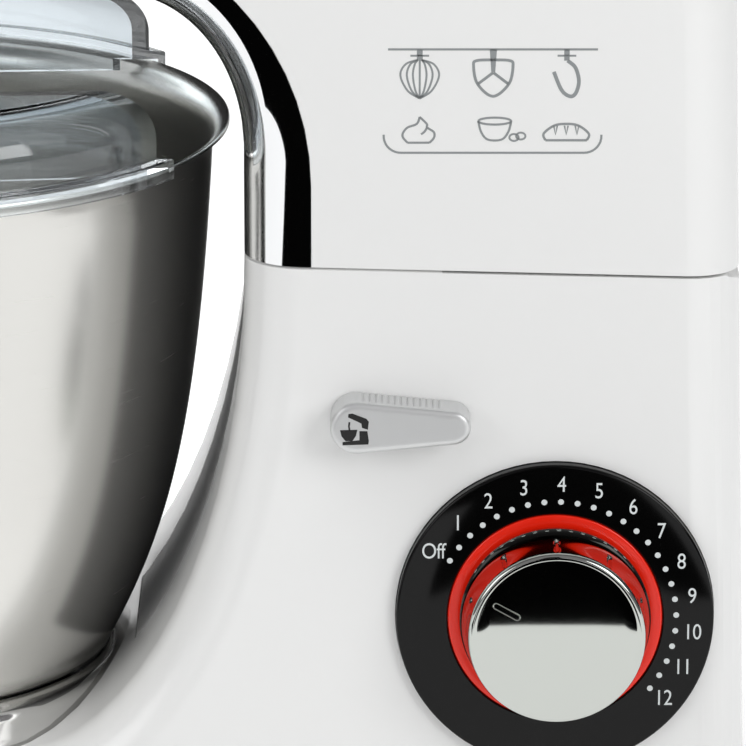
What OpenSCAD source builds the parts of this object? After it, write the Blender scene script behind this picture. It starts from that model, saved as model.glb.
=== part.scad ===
/* [Bowl] */
// Outer radius of the bowl's rim
bowl_r = 110; // [106:0.5:112]
// Height of the bowl from the underside of its foot to its rim
bowl_h = 178.6; // [170:0.2:182]
// Thickness of the bowl's sheet
bowl_wall = 1; // [0.8:0.1:1.4]
// Outer radius of the bowl's foot ring
foot_r = 78; // [74:0.5:80]
// Height of the foot ring
foot_h = 17; // [14:0.5:20]
// Wall of the foot ring
foot_wall = 1.6; // [1.2:0.1:2.4]

/* [Splash guard] */
// Reach of the guard's flange past the bowl's rim
guard_over = 3; // [2.6:0.1:4]
// Height of the guard above the rim
guard_h = 23; // [18:0.5:28]
// Wall of the clear guard
guard_wall = 2.5; // [2:0.1:3]
// Half of the width of the guard's slot
slot_half = 65; // [63:0.5:72]
// How far the slot reaches past the bowl's axis
slot_front = 82; // [78:1:90]
// Turn of the guard on the bowl, as it is stored
guard_turn = 3; // [0:0.5:6]

/* [Base and column] */
// Half of the width of the column
column_half = 80; // [78:0.5:84]
// Front of the column, from the bowl's axis
column_front = 115.5; // [115:0.5:118]
// Back of the column at the seam, from the bowl's axis
column_back = 256; // [252:0.5:262]
// Radius of the round front of the base
base_r = 96; // [94:0.5:100]
// Height of the top of the base plate
base_top = 27; // [26:0.5:30]
// Rounding of the housing's long edges
edge_r = 16; // [12:0.5:17]
// Wall of the moulded housings
wall = 3; // [2.5:0.1:3.5]
// Height of the seam at the front of the column
seam_z = 176.5; // [174:0.5:180]
// Gap at the seam
seam_gap = 0.8; // [0.5:0.1:1.2]
// Height of the feet below the housing
foot_gap = 4; // [3:0.5:6]
// Depth of the seat for the bowl in the base plate
seat_depth = 5; // [4:0.5:6]

/* [Dial] */
// Distance of the dial from the bowl's axis
dial_x = 204; // [200:0.5:206]
// Height of the dial's centre
dial_z = 74; // [72:0.5:78]
// Radius of the black disc
bezel_r = 45.4; // [42:0.2:46]
// How far the disc stands out of the column
bezel_proud = 3.4; // [2:0.2:5]
// Radius of the light ring
ring_r = 30.6; // [29:0.2:32]
// Radius of the knob at its base
knob_r = 27.3; // [25:0.1:28]
// Height of the knob above the disc
knob_h = 19.4; // [17:0.2:24]
// Number of flutes round the knob
flutes = 10; // [8:1:12]
// Angle of the pointer at off, from the horizontal
off_angle = 150.4; // [140:0.2:160]

/* [Release lever] */
// Distance of the lever's pivot from the bowl's axis
lever_x = 174.7; // [172:0.5:176]
// Height of the lever's pivot
lever_z = 132.6; // [130:0.1:134]
// Distance between the lever's two round ends
lever_len = 27.2; // [25:0.2:30]
// Radius of the thumb end
lever_r1 = 7.6; // [7:0.1:8.2]
// Radius of the pivot end
lever_r2 = 4.9; // [4.6:0.1:5.6]
// How far the lever stands out
lever_proud = 11.6; // [9:0.2:13]
// Number of ribs on the lever
lever_ribs = 13; // [9:1:15]

/* [Head] */
// Highest point of the head
head_top = 335; // [328:1:345]
// Front of the head, ahead of the bowl's axis
nose_x = 118; // [116:0.5:124]
// Height of the head's underside
under_z = 252; // [248:0.5:254]
// Radius of the arch between neck and underside
arch_r = 35.5; // [32:0.5:40]
// Height of the arch between neck and underside
arch_h = 45; // [40:0.5:48]
// Upward reach of the chrome over the arch
band_rise = 74; // [70:1:78]
// Width of the chrome on the side of the neck
band_w = 19.2; // [16:0.2:22]
// Half of the width of the dark cover under the head
cover_half = 59; // [56:0.5:60]
// Largest tilt of the head
tilt_max = 28; // [20:1:30]
// Distance of the hinge pin from the bowl's axis
hinge_x = 248; // [246:0.5:249]
// Height of the hinge pin
hinge_z = 164; // [163:0.2:165]
// Radius of the hinge pin
pin_r = 3; // [2.5:0.1:3.2]

/* [Planetary drive] */
// Distance of the tool shaft from the bowl's axis
orbit_r = 30; // [28:1:32]
// Module of the planetary teeth
orbit_m = 1.5; // [1.25:0.25:2]
// Teeth of the planet gear
planet_teeth = 18; // [16:1:20]
// Module of the gearbox teeth
gear_m = 1.25; // [1:0.25:1.5]
// Teeth of the main gear
main_teeth = 58; // [52:1:60]
// Teeth of the layshaft's pinion
pinion_teeth = 14; // [13:1:16]
// Width of the gear teeth
gear_w = 8; // [6:1:9]
// Radius of the hub cover
hub_r = 52; // [50:0.5:53]
// Radius of the tool shaft
tool_shaft_r = 5; // [4.5:0.1:5.5]
// Half of the width of the dough hook
hook_half = 33; // [28:0.5:34]
// Thickness of the dough hook
hook_d = 10; // [8:0.5:11]
// Height of the dough hook's lowest point
hook_bottom = 45; // [42:0.5:60]

/* [Motor and belt] */
// Distance of the motor from the bowl's axis
motor_x = 186; // [180:0.5:190]
// Radius of the motor's case
motor_r = 37; // [32:0.5:39]
// Radius of the large pulley
pulley_r = 42; // [38:0.5:44]
// Radius of the motor pulley
small_pulley_r = 8; // [7:0.5:10]
// Width of the belt
belt_w = 10; // [8:0.5:12]

/* [Fits] */
// Radial clearance of a shaft in its bearing
run_gap = 0.05; // [0.03:0.01:0.08]
// Gap between fixed pieces
fit_gap = 0.2; // [0.1:0.05:0.3]

/* [Hidden] */
$fn = 72;
far = 600;

rear_lean = 0.0235;
side_draft = 1;
seam_tilt = 1.4;
round_steps = 7;
inner_steps = 4;

base_z0 = foot_gap;
column_rear_z0 = column_back + (seam_z - base_z0) * rear_lean;
gland_z = 22;
gland_out = 1.5;
rear_x = max(column_rear_z0, column_back + (seam_z - gland_z) * rear_lean + gland_out);
bowl_x = (nose_x - rear_x) / 2;
seat_z = base_top - seat_depth;
rim_z = seat_z + bowl_h;
guard_r = bowl_r + guard_over;

// ---------------------------------------------------------------- curves

function mix(a, b, t) = a + (b - a) * t;
function bezier(p, t) =
    pow(1 - t, 3) * p[0] + 3 * pow(1 - t, 2) * t * p[1] + 3 * (1 - t) * t * t * p[2] + pow(t, 3) * p[3];
function curve(p, n, from = 0) = [for (i = [from:n]) bezier(p, i / n)];
function arc(c, rx, rz, a0, a1, n, from = 0) =
    [for (i = [from:n]) let (a = mix(a0, a1, i / n)) [c[0] + rx * cos(a), c[1] + rz * sin(a)]];
function constant(v, n) = [for (i = [1:n]) v];
function ramp(a, b, n) = [for (i = [1:n]) mix(a, b, i / n)];

// Half of the width at a height: the sides lean in by the draft angle.
function half_width(z) = column_half - tan(side_draft) * (z - base_top);

// A body with a flat, leaning side on each hand. The middle has the outline outer, the sides have the
// outline core, and a quarter of an ellipse joins them over the depth given for each point.
module side_rounded(outer, core, depth, inset = 0) {
    n = len(outer);
    steps = inset > 0 ? inner_steps : round_steps;
    turns = [for (i = [0:steps]) 90 * i / steps];
    ring = function (side, a) [
        for (i = [0:n - 1])
            let (w = 1 - cos(a), x = mix(outer[i][0], core[i][0], w), z = mix(outer[i][1], core[i][1], w))
            [x, side * (half_width(core[i][1]) - inset - (depth[i] - inset) * (1 - sin(a))), z]
    ];
    rings = [
        for (i = [steps:-1:0]) ring(-1, turns[i]),
        for (i = [0:steps]) ring(1, turns[i])
    ];
    last = len(rings) - 1;
    points = [for (r = rings) each r];
    walls = [
        for (k = [0:last - 1]) for (i = [0:n - 1])
            let (j = (i + 1) % n)
            each [[k * n + i, (k + 1) * n + j, k * n + j], [k * n + i, (k + 1) * n + i, (k + 1) * n + j]]
    ];
    near = [for (i = [0:n - 1]) i];
    off = [for (i = [n - 1:-1:0]) last * n + i];
    polyhedron(points, concat(walls, [near, off]), convexity = 10);
}

// A thin moulding with blended walls, kept as one faceted body.
module moulding() resize([0, 0, 0]) children();

// Half-space under the seam, which falls slightly to the back.
module below_seam(dz = 0) {
    translate([column_front, 0, seam_z + dz]) rotate([0, seam_tilt, 0])
        translate([-far, -far / 2, -far]) cube([2 * far, far, far]);
}

// ---------------------------------------------------------------- base and column form

flare_x = 45;
flare_a = column_front - flare_x;
flare_b = seam_z - 1.5 - base_top;
flare_steps = 16;
flare_c = [flare_x, base_top + flare_b];

// Point on the hollow front of the column, d deep in the wall; t is 90 at the base, 0 at the seam.
function flare_point(t, d) =
    let (nx = cos(t) / flare_a, nz = sin(t) / flare_b, l = norm([nx, nz]))
    [flare_c[0] + flare_a * cos(t) + d * nx / l, flare_c[1] - flare_b * sin(t) - d * nz / l];
function flare_angle(z) = asin((flare_c[1] - z) / flare_b);
function back_x(z) = column_back + (seam_z - z) * rear_lean;

function column_outline(d, n) = [
    each [for (i = [0:n]) flare_point(90 * (1 - i / n), d)],
    [column_front + d, 200],
    [back_x(200) - d, 200],
    [back_x(-20) - d, -20],
    [flare_x, -20]
];

module column_form(inset = 0) {
    n = inset > 0 ? flare_steps / 2 : flare_steps;
    side_rounded(column_outline(inset, n), column_outline(edge_r, n), constant(edge_r, n + 5), inset);
}

blend_r = 60;
blend_y = column_half + blend_r;
blend_x = sqrt(pow(base_r + blend_r, 2) - pow(blend_y, 2));
blend_a = atan2(blend_y, blend_x);
corner_r = 20;
plate_back = back_x(base_top) - 0.6;

function plate_half(d) = [
    each arc([0, 0], base_r - d, base_r - d, 180, blend_a, 14),
    each arc([blend_x, blend_y], blend_r + d, blend_r + d, 180 + blend_a, 270, 4, 1),
    each arc([plate_back - corner_r, column_half - corner_r], corner_r - d, corner_r - d, 90, 0, 4)
];
function plate_outline(d) = [
    each plate_half(d),
    for (p = [for (i = [len(plate_half(d)) - 1:-1:1]) plate_half(d)[i]]) [p[0], -p[1]]
];

// Base plate: its outline drawn in over a rounded upper edge.
module plate_form(inset = 0) {
    r = edge_r - inset;
    steps = inset > 0 ? inner_steps : round_steps;
    levels = [
        [inset, -20],
        for (i = [0:steps]) let (a = 90 * i / steps)
            [inset + r * (1 - cos(a)), base_top - edge_r + r * sin(a)]
    ];
    n = len(plate_outline(0));
    last = len(levels) - 1;
    points = [for (l = levels) for (p = plate_outline(l[0])) [p[0], p[1], l[1]]];
    walls = [
        for (k = [0:last - 1]) for (i = [0:n - 1])
            let (j = (i + 1) % n)
            each [[k * n + i, k * n + j, (k + 1) * n + j], [k * n + i, (k + 1) * n + j, (k + 1) * n + i]]
    ];
    bottom = [for (i = [n - 1:-1:0]) i];
    top = [for (i = [0:n - 1]) last * n + i];
    polyhedron(points, concat(walls, [bottom, top]), convexity = 10);
}

module base_form(inset = 0) {
    column_form(inset);
    plate_form(inset);
}

// ---------------------------------------------------------------- frames of the parts

module at_bowl() translate([bowl_x, 0, 0]) children();

dial_y = half_width(dial_z) + bezel_proud;
// Dial's own frame: z points out of the disc, its front at z = 0.
module dial_space() translate([dial_x, -dial_y, dial_z]) rotate([90 - side_draft, 0, 0]) children();
module at_dial() at_bowl() dial_space() children();

lever_y = half_width(lever_z);
module lever_space() translate([lever_x, 0, lever_z]) rotate([90, 0, 0]) children();
module at_lever() at_bowl() lever_space() children();

module at_hinge() at_bowl() translate([hinge_x, 0, hinge_z]) rotate([90, 0, 0]) children();

module tube(r, bore, h) difference() {
    cylinder(r = r, h = h);
    translate([0, 0, -1]) cylinder(r = bore, h = h + 2);
}

// ---------------------------------------------------------------- base housing

seat_gap = 1.2;
pocket_r = bezel_r + 0.3;
pocket_z = -(bezel_proud + 3.1);
panel_half = 28;
panel_t = 1.5;
panel_z0 = 49;
panel_z1 = seam_z - 5;
deck = 3;
arm_y = 41;
arm_t = 5;
frame_y = 33;
frame_t = 2;
shelf_z = lever_z - 18;
catch_half = 9;
gland_r = 7;
screw_r = 2;
foot_spots = [[-56, 50], [-56, -50], [225, 56], [225, -56], [80, 0]];
screw_spots = [[-20, 62], [-20, -62], [246, 28], [246, -28], [120, 68], [120, -68]];

module screw_boss(p) translate([p[0], p[1], base_z0 + 3]) difference() {
    cylinder(r = 5, h = 15, $fn = 20);
    translate([0, 0, -10]) cylinder(r = screw_r + 0.1, h = 22, $fn = 16);
}

// Wedge behind the seam that the back of the head swings into.
module tilt_wedge() translate([hinge_x, 0, hinge_z]) rotate([0, tilt_max + 1, 0])
    translate([-hinge_x, 0, -hinge_z]) difference() {
        translate([hinge_x - 10, -far / 2, 120]) cube([100, far, 150]);
        below_seam(seam_gap / 2 - 0.4);
    }

module above_seam(dz) difference() {
    translate([column_front - 60, -far / 2, 100]) cube([far, far, far]);
    below_seam(dz);
}

module base_shell() difference() {
    base_form();
    difference() {
        base_form(wall);
        above_seam(-seam_gap / 2 - deck);
        translate([0, 0, -deck]) tilt_wedge();
        translate([0, 0, seat_z - wall]) cylinder(r = foot_r + seat_gap + wall, h = 40, $fn = 48);
        for (s = [-1, 1]) translate([190, s > 0 ? frame_y - 3 : -column_half, shelf_z])
            cube([40, column_half - frame_y + 3, 8]);
        for (p = screw_spots) screw_boss(p);
        for (s = [-1, 1]) translate([0, 0, base_z0 + 3]) {
            translate([249, s * 28 - 1.5, 0]) cube([20, 3, 15]);
            translate([118.5, s > 0 ? 71 : -91, 0]) cube([3, 20, 15]);
        }
        dial_space() translate([0, 0, pocket_z - 5]) cylinder(r = pocket_r + 3, h = 20, $fn = 40);
        lever_space() translate([0, 0, lever_y - 6]) cylinder(r = 9, h = 12, $fn = 24);
    }
    translate([-far / 2, -far / 2, -far + base_z0]) cube([far, far, far]);
    above_seam(-seam_gap / 2);
    tilt_wedge();
    for (s = [-1, 1]) translate([hinge_x - 12, s * arm_y - arm_t / 2 - 1, 100]) cube([20, arm_t + 2, 100]);
    translate([lever_x - 4, -catch_half - 3, 140]) cube([22, 2 * catch_half + 6, 60]);
    rotate([90, 0, 0]) translate([0, 0, -panel_half - fit_gap]) linear_extrude(2 * (panel_half + fit_gap))
        panel_section(panel_t + 0.1, -2, 0.4);
}

module base_housing() color("white") at_bowl() moulding() difference() {
    base_shell();
    translate([0, 0, seat_z]) cylinder(r = foot_r + seat_gap, h = 60);
    translate([0, 0, seat_z - wall - 1]) cylinder(r = 12, h = 20);
    translate([back_x(gland_z) - 10, 0, gland_z]) rotate([0, 90, 0]) cylinder(r = gland_r + 0.3, h = 30);
    dial_space() {
        translate([0, 0, pocket_z]) cylinder(r = pocket_r, h = 40);
        translate([0, 0, -40]) cylinder(r = 4.9, h = 60);
    }
    lever_space() {
        translate([0, 0, lever_y - 20]) cylinder(r = bush_r + 0.1, h = 18.6);
        translate([0, 0, lever_y - 20]) cylinder(r = lever_shaft_r + 0.3, h = 40);
    }
}

// Section of the strip that follows the hollow front, from depth d0 to d1, longer by extra at each end.
module panel_section(d0, d1, extra = 0) {
    t0 = flare_angle(panel_z0 - extra);
    t1 = flare_angle(panel_z1 + extra);
    n = 16;
    polygon([
        for (i = [0:n]) flare_point(mix(t0, t1, i / n), d0),
        for (i = [n:-1:0]) flare_point(mix(t0, t1, i / n), d1)
    ]);
}

module front_panel() color("gainsboro") at_bowl()
    rotate([90, 0, 0]) translate([0, 0, -panel_half]) linear_extrude(2 * panel_half)
        panel_section(panel_t, 0);

module plate_slab(d, z, h) translate([0, 0, z]) linear_extrude(h) polygon(plate_outline(d));

module bottom_plate() color("dimgray") at_bowl() difference() {
    plate_slab(wall + 1.2, base_z0, 2.5);
    for (p = foot_spots) translate([p[0], p[1], 0]) cylinder(r = 5, h = 10);
    for (p = screw_spots) translate([p[0], p[1], 0]) cylinder(r = screw_r + 0.3, h = 10);
    for (i = [-4:4]) translate([150 + 6 * i, -24, 0]) cube([2.4, 48, 20]);
}

module rubber_feet() color("black") at_bowl() for (p = foot_spots) translate([p[0], p[1], 0]) {
    rotate_extrude() polygon([[0, 1.2], [8, 1.2], [11, 0], [13, 0], [12.2, base_z0], [0, base_z0]]);
    translate([0, 0, base_z0]) cylinder(r = 4.9, h = 2.5);
    translate([0, 0, base_z0 + 2.5]) cylinder(r = 6, h = 1.5);
}

module base_screws() color("silver") at_bowl() for (p = screw_spots) translate([p[0], p[1], 0]) {
    translate([0, 0, base_z0 - 1.6]) cylinder(r = 3.6, h = 1.6);
    translate([0, 0, base_z0]) cylinder(r = screw_r, h = 12);
}

// ---------------------------------------------------------------- bowl seat and bowl

lug_n = 3;
lug_a = 34;
tab_in = foot_r - 15;
lug_out = foot_r - 7;

module sector(r0, r1, a0, a1, z, h) translate([0, 0, z]) rotate([0, 0, a0])
    rotate_extrude(angle = a1 - a0) translate([r0, 0]) square([r1 - r0, h]);

module bowl_lock_plate() color("silver") at_bowl() difference() {
    union() {
        translate([0, 0, seat_z]) cylinder(r = tab_in - 2, h = 7.6);
        for (i = [0:lug_n - 1]) sector(tab_in - 5, lug_out, 120 * i, 120 * i + lug_a, seat_z + 4.8, 2.4);
        translate([0, 0, seat_z - wall]) cylinder(r = 11.8, h = wall + 1);
    }
    translate([0, 0, seat_z + 1.6]) cylinder(r = tab_in - 8, h = 10);
}

module bowl_foot() color("silver") at_bowl() {
    ring_z = seat_z + 0.3;
    rotate_extrude() polygon([
        [foot_r - foot_wall, ring_z],
        [foot_r, ring_z],
        each arc([foot_r - 4, seat_z + foot_h - 4], 4, 4, 0, 62, 5),
        [foot_r - 4.6, seat_z + foot_h + 1.4],
        [foot_r - 5.6, seat_z + foot_h + 0.6],
        [foot_r - foot_wall, seat_z + foot_h - 5]
    ]);
    for (i = [0:lug_n - 1])
        sector(tab_in, foot_r - foot_wall + 0.4, 120 * i + 2, 120 * i + lug_a - 6, seat_z + 1, 3.4);
}

body_z0 = foot_h + 2;
lip_z = bowl_h - 8.6;

// Outside of the bowl's side, from the foot up to the start of the lip.
function bowl_side(d) = curve([
    [foot_r - 5 - d, body_z0 + d * 0.5],
    [foot_r + 10.6 - d, body_z0 + 30],
    [bowl_r - 10.2 - d, bowl_h * 0.42],
    [bowl_r - 5 - d, lip_z]
], 16);
function bowl_bottom(d) = curve([
    [0, body_z0 - 14.4 + d],
    [38, body_z0 - 14.4 + d],
    [foot_r - 22 - d * 0.4, body_z0 - 10 + d],
    [foot_r - 5 - d, body_z0 + d * 0.5]
], 7);
function tail(list) = [for (i = [1:len(list) - 1]) list[i]];
function reversed(list) = [for (i = [len(list) - 1:-1:0]) list[i]];

module bowl() color("lightgray") at_bowl() translate([0, 0, seat_z]) rotate_extrude($fn = 120) polygon([
    each bowl_bottom(0),
    each tail(bowl_side(0)),
    [bowl_r - 4.4, lip_z + 4],
    [bowl_r - 2.6, lip_z + 6.4],
    [bowl_r, bowl_h - bowl_wall - 0.3],
    [bowl_r, bowl_h],
    [bowl_r - 3.4 , lip_z + 7],
    [bowl_r - 5.3, lip_z + 4.2],
    each reversed(tail(bowl_side(bowl_wall))),
    each reversed(bowl_bottom(bowl_wall))
]);

// ---------------------------------------------------------------- splash guard

guard_z = rim_z + 0.4;
guard_top = rim_z + guard_h;
guard_side = guard_r - 4;
dome_r = 14;
skirt = 3.4;

// Section of the guard's shell; w is the wall, which is the whole inside when it is large.
module guard_section() polygon([
    [bowl_r + 1.2, guard_z - skirt],
    [guard_r, guard_z - skirt],
    [guard_r, guard_z + guard_wall - 0.6],
    [guard_r - 0.8, guard_z + guard_wall],
    [guard_side, guard_z + guard_wall],
    each arc([guard_side - dome_r, guard_top - dome_r], dome_r, dome_r, 0, 90, 8),
    [0, guard_top],
    [0, guard_top - guard_wall],
    each arc([guard_side - dome_r, guard_top - dome_r], dome_r - guard_wall, dome_r - guard_wall, 90, 0, 8),
    [guard_side - guard_wall, guard_z],
    [bowl_r + 1.2, guard_z]
]);

// Space under the guard's outside, which also drops a little way into the bowl.
module guard_envelope() rotate_extrude() polygon([
    [0, guard_z - skirt],
    [bowl_r - 8, guard_z - skirt],
    [bowl_r - 8, guard_z],
    [guard_side, guard_z],
    each arc([guard_side - dome_r, guard_top - dome_r], dome_r, dome_r, 0, 90, 8),
    [0, guard_top]
]);

module slot_outline(d = 0) {
    square_x = slot_front - slot_half;
    translate([-square_x, 0]) circle(r = slot_half + d);
    translate([-square_x, -slot_half - d]) square([guard_r * 2, 2 * (slot_half + d)]);
}

module splash_guard() color("lightcyan", 0.4) at_bowl() rotate([0, 0, guard_turn]) difference() {
    union() {
        rotate_extrude() guard_section();
        intersection() {
            guard_envelope();
            linear_extrude(far) slot_outline(guard_wall);
        }
    }
    translate([0, 0, guard_z - skirt - 5]) linear_extrude(60) slot_outline();
}

// ---------------------------------------------------------------- dial

module dial_bezel() color("black") at_dial() difference() {
    rotate_extrude() polygon([
        [ring_r + fit_gap, pocket_z + 0.1],
        [bezel_r, pocket_z + 0.1],
        [bezel_r, -0.8],
        [bezel_r - 0.8, 0],
        [ring_r + fit_gap, 0]
    ]);
}

module light_ring() color("red") at_dial() rotate_extrude() polygon([
    [8, pocket_z + 0.1],
    [ring_r, pocket_z + 0.1],
    [ring_r, -0.5],
    [ring_r - 0.5, -0.1],
    [knob_r - 1.5, -0.6],
    [knob_r - 4, -1.4],
    [8, -1.4]
]);

pot_z = pocket_z - 5;
shaft_r = 3;

module speed_control() color("steelblue") at_dial() difference() {
    union() {
        translate([0, 0, pot_z - 14]) cylinder(r = 11, h = 13.9);
        translate([0, 0, pot_z - 1]) cylinder(r = 4.6, h = 1 + 5 + 4);
        translate([-8, -19, pot_z - 8]) cube([16, 12, 2]);
    }
    translate([0, 0, pot_z - 11]) cylinder(r = shaft_r + run_gap, h = 40);
}

module knob_shaft() color("gray") at_dial() translate([0, 0, pot_z - 10.8])
    cylinder(r = shaft_r, h = -pot_z + 10.8 + knob_h - 5.4);

module speed_knob() color("silver") at_dial() difference() {
    rotate_extrude() polygon([
        [0, 0.4],
        [knob_r, 0.4],
        [knob_r, 2],
        each curve([[knob_r - 0.1, 2.3], [knob_r - 1.4, 4.4], [knob_r - 1.8, 8], [knob_r - 2.2, knob_h - 1.4]], 6),
        each arc([knob_r - 3.6, knob_h - 1.4], 1.4, 1.4, 12, 90, 3),
        [0, knob_h]
    ]);
    rotate_extrude() polygon([
        [6, 0], [knob_r - 3.6, 0], [knob_r - 4.8, knob_h - 5], [6, knob_h - 5]
    ]);
    translate([0, 0, -1]) cylinder(r = shaft_r + 0.02, h = knob_h - 4);
    for (i = [0:flutes - 1]) rotate([0, 0, 90 + 360 * i / flutes]) translate([knob_r - 0.7, 0, 8.4]) {
        sphere(r = 1.7, $fn = 24);
        rotate([0, -2.2, 0]) cylinder(r = 1.7, h = knob_h);
    }
    rotate([0, 0, off_angle]) translate([12, -0.9, knob_h - 0.9]) cube([8.4, 1.8, 5]);
}

// ---------------------------------------------------------------- column's inside

board_x = 140;

module control_board() color("darkgreen") at_bowl() translate([board_x, 0, 0]) {
    translate([-30, -40, base_z0 + 9]) cube([60, 80, 1.6]);
    for (x = [-24, 24]) for (y = [-34, 34]) translate([x, y, base_z0 + 2.5]) cylinder(r = 3, h = 6.5);
    translate([-14, -20, base_z0 + 10.6]) cube([10, 40, 24]);
    translate([12, 14, base_z0 + 10.6]) cylinder(r = 8, h = 20);
    translate([4, -30, base_z0 + 10.6]) cube([20, 18, 14]);
}

// Steel frame: two cheeks on a bridge, with the bores for the hinge pin and the lever's shaft.
module column_frame() color("slategray") {
    for (s = [-1, 1]) at_bowl() difference() {
        translate([0, s * frame_y + frame_t / 2, 0]) rotate([90, 0, 0]) linear_extrude(frame_t) polygon([
            [lever_x - 9, lever_z - 10], [hinge_x + 5, lever_z - 10], [hinge_x + 5, hinge_z + 2],
            [hinge_x + 2, hinge_z + 4.6], [hinge_x - 6, hinge_z + 4.6], [hinge_x - 30, lever_z + 14],
            [lever_x + 8, lever_z + 9], [lever_x - 9, lever_z + 9]
        ]);
        translate([hinge_x, 50, hinge_z]) rotate([90, 0, 0]) cylinder(r = pin_r + 0.02, h = 100);
        translate([lever_x, 50, lever_z]) rotate([90, 0, 0]) cylinder(r = lever_shaft_r + run_gap, h = 100);
    }
    at_bowl() difference() {
        translate([190, -frame_y - 1, shelf_z + 8]) cube([40, 2 * frame_y + 2, 1.6]);
        translate([200, -catch_half, shelf_z]) cube([20, 2 * catch_half, 20]);
    }
}

module hinge_pin() color("silver") at_hinge() translate([0, 0, -arm_y - 7]) cylinder(r = pin_r, h = 2 * arm_y + 14);

bush_r = 6.5;
lever_shaft_r = 4;

module lever_bush() color("ivory") at_lever() translate([0, 0, lever_y - 6.4]) difference() {
    union() {
        cylinder(r = bush_r, h = 4.9);
        translate([0, 0, -1.5]) cylinder(r = bush_r + 2, h = 1.5);
    }
    translate([0, 0, -5]) cylinder(r = lever_shaft_r + run_gap, h = 20);
}

spring_wire = 0.7;

// Torsion spring, closely wound on the shaft beside the hook, with a leg on the frame's bridge.
module latch_spring() color("dimgray") at_lever() {
    rotate_extrude() for (i = [0:5]) translate([lever_shaft_r + 1.2, 8 + i * spring_wire * 1.9])
        circle(r = spring_wire, $fn = 16);
    translate([lever_shaft_r + 1.2, 0, 8]) rotate([90, 0, 0]) translate([0, 0, 0])
        cylinder(r = spring_wire * 0.9, h = 8.4, $fn = 16);
}

module cord_gland() color("black") at_bowl() translate([back_x(gland_z) + gland_out, 0, gland_z]) rotate([0, -90, 0]) {
    difference() {
        union() {
            cylinder(r = gland_r + 2.5, h = gland_out - 0.3);
            cylinder(r = gland_r, h = 5.2);
            translate([0, 0, 4.9]) cylinder(r = gland_r + 2, h = 2);
        }
        translate([0, 0, -1]) cylinder(r = 3.5, h = 20);
    }
}

// ---------------------------------------------------------------- release lever

lever_lean = asin((lever_r1 - lever_r2) / lever_len);
groove_pitch = 1.8;

// Two round ends and the straight flanks that touch both.
module lever_outline(d = 0) polygon([
    each arc([0, 0], lever_r2 + d, lever_r2 + d, lever_lean - 90, 90 - lever_lean, 16),
    each arc([-lever_len, 0], lever_r1 + d, lever_r1 + d, 90 - lever_lean, 270 + lever_lean, 24)
]);

module release_lever() color("silver") at_lever() translate([0, 0, lever_y + 0.4]) difference() {
    union() {
        linear_extrude(lever_proud - 1) lever_outline();
        translate([0, 0, lever_proud - 1]) linear_extrude(0.6) lever_outline(-0.5);
        translate([0, 0, lever_proud - 0.4]) linear_extrude(0.4) lever_outline(-1.2);
    }
    translate([0, 0, -1]) cylinder(r = lever_shaft_r + 0.02, h = lever_proud - 3);
    translate([-lever_len, 0, -1]) cylinder(r = lever_r1 - 2, h = lever_proud - 3);
    for (side = [0, 1]) mirror([0, side, 0]) translate([-lever_len, lever_r1, 0]) rotate([0, 0, -lever_lean])
        for (i = [0:lever_ribs - 1]) translate([i * groove_pitch, -0.55, -1]) cube([0.7, 4, lever_proud - 3.4]);
}

module lever_shaft() color("gray") at_lever() translate([0, 0, -frame_y - 3])
    cylinder(r = lever_shaft_r, h = frame_y + 3 + lever_y + lever_proud - 3.8);

hook_t = 3;
catch_x = 7;
catch_z = 28;
bar_r = 2.5;
// The hook's nose ends just short of the path of the bar.
nose_tip = catch_x - bar_r - 1.4;

module latch_hook() color("dimgray") at_lever() translate([0, 0, -hook_t]) difference() {
    union() {
        cylinder(r = 8, h = 2 * hook_t);
        linear_extrude(2 * hook_t)
            polygon([[-7, 1], [-5, catch_z + 6], [-3, catch_z + 8], [nose_tip - 1, catch_z + 6.4],
                     [nose_tip, catch_z + 4.4], [nose_tip, catch_z + 2.9], [0, catch_z + 2.9], [0, 20], [5, 5.4]]);
    }
    translate([0, 0, -1]) cylinder(r = lever_shaft_r + 0.02, h = 20);
}

// ---------------------------------------------------------------- head form

head_core = 37;
n_arc = 8;
n_nose = 7;
n_top = 10;
n_back = 10;

// Side view of the head. The outline for the middle has s = 0, and the one for the flat sides has s = 1.
function head_outline(s, d = 0) =
    let (
        front = column_front + edge_r * s + d,
        r = arch_r + edge_r * s + d,
        h = arch_h + edge_r * s + d,
        c = [column_front - arch_r, under_z - arch_h],
        under = c[1] + h,
        bn = mix(-nose_x + 32, -42, s),
        fx = -nose_x + 58 * s + d,
        top = head_top - head_core * s - d,
        back = edge_r * s + d
    )
    [
        each arc(c, r, h, 0, 90, n_arc),
        [bn, under],
        each curve([[bn, under], [bn - mix(22, 12, s), under], [fx, under + 11 * (1 - s) + 5],
                    [fx, mix(272, 276, s)]], n_nose, 1),
        each curve([[fx, mix(272, 276, s)], [fx, mix(312, 290, s)], [mix(-40, -18, s), top], [62, top]], n_top, 1),
        each curve([[62, top], [mix(172, 160, s), top], [back_x(302) - back, mix(302, 286, s)],
                    [back_x(252) - back, 250]], n_back, 1),
        [back_x(160) - back, 160],
        [front, 160]
    ];
head_depth = concat(
    constant(edge_r, n_arc + 1), [20], ramp(24, 64, n_nose), ramp(64, 60, n_top), ramp(56, edge_r, n_back),
    constant(edge_r, 2));

module head_form(inset = 0) side_rounded(head_outline(0, inset), head_outline(1), head_depth, inset);

// Region above the upper edge of the chrome band, as seen from the side.
band_x = column_front + band_w;
band_c = [band_x - 70, 200];
module band_region(d = 0) polygon([
    [band_x + d, 120],
    each arc(band_c, 70 + d, band_rise + d, 0, 90, 14),
    each curve([[band_c[0], 200 + band_rise + d], [10, 201 + band_rise + d], [-60, 272 + d], [-140, 256 + d]], 8, 1),
    [-140, 120]
]);

module from_side() rotate([90, 0, 0]) translate([0, 0, -far / 2]) linear_extrude(far) children();

module head_shell() difference() {
    head_form();
    head_form(wall);
    below_seam(seam_gap / 2);
}

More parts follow.
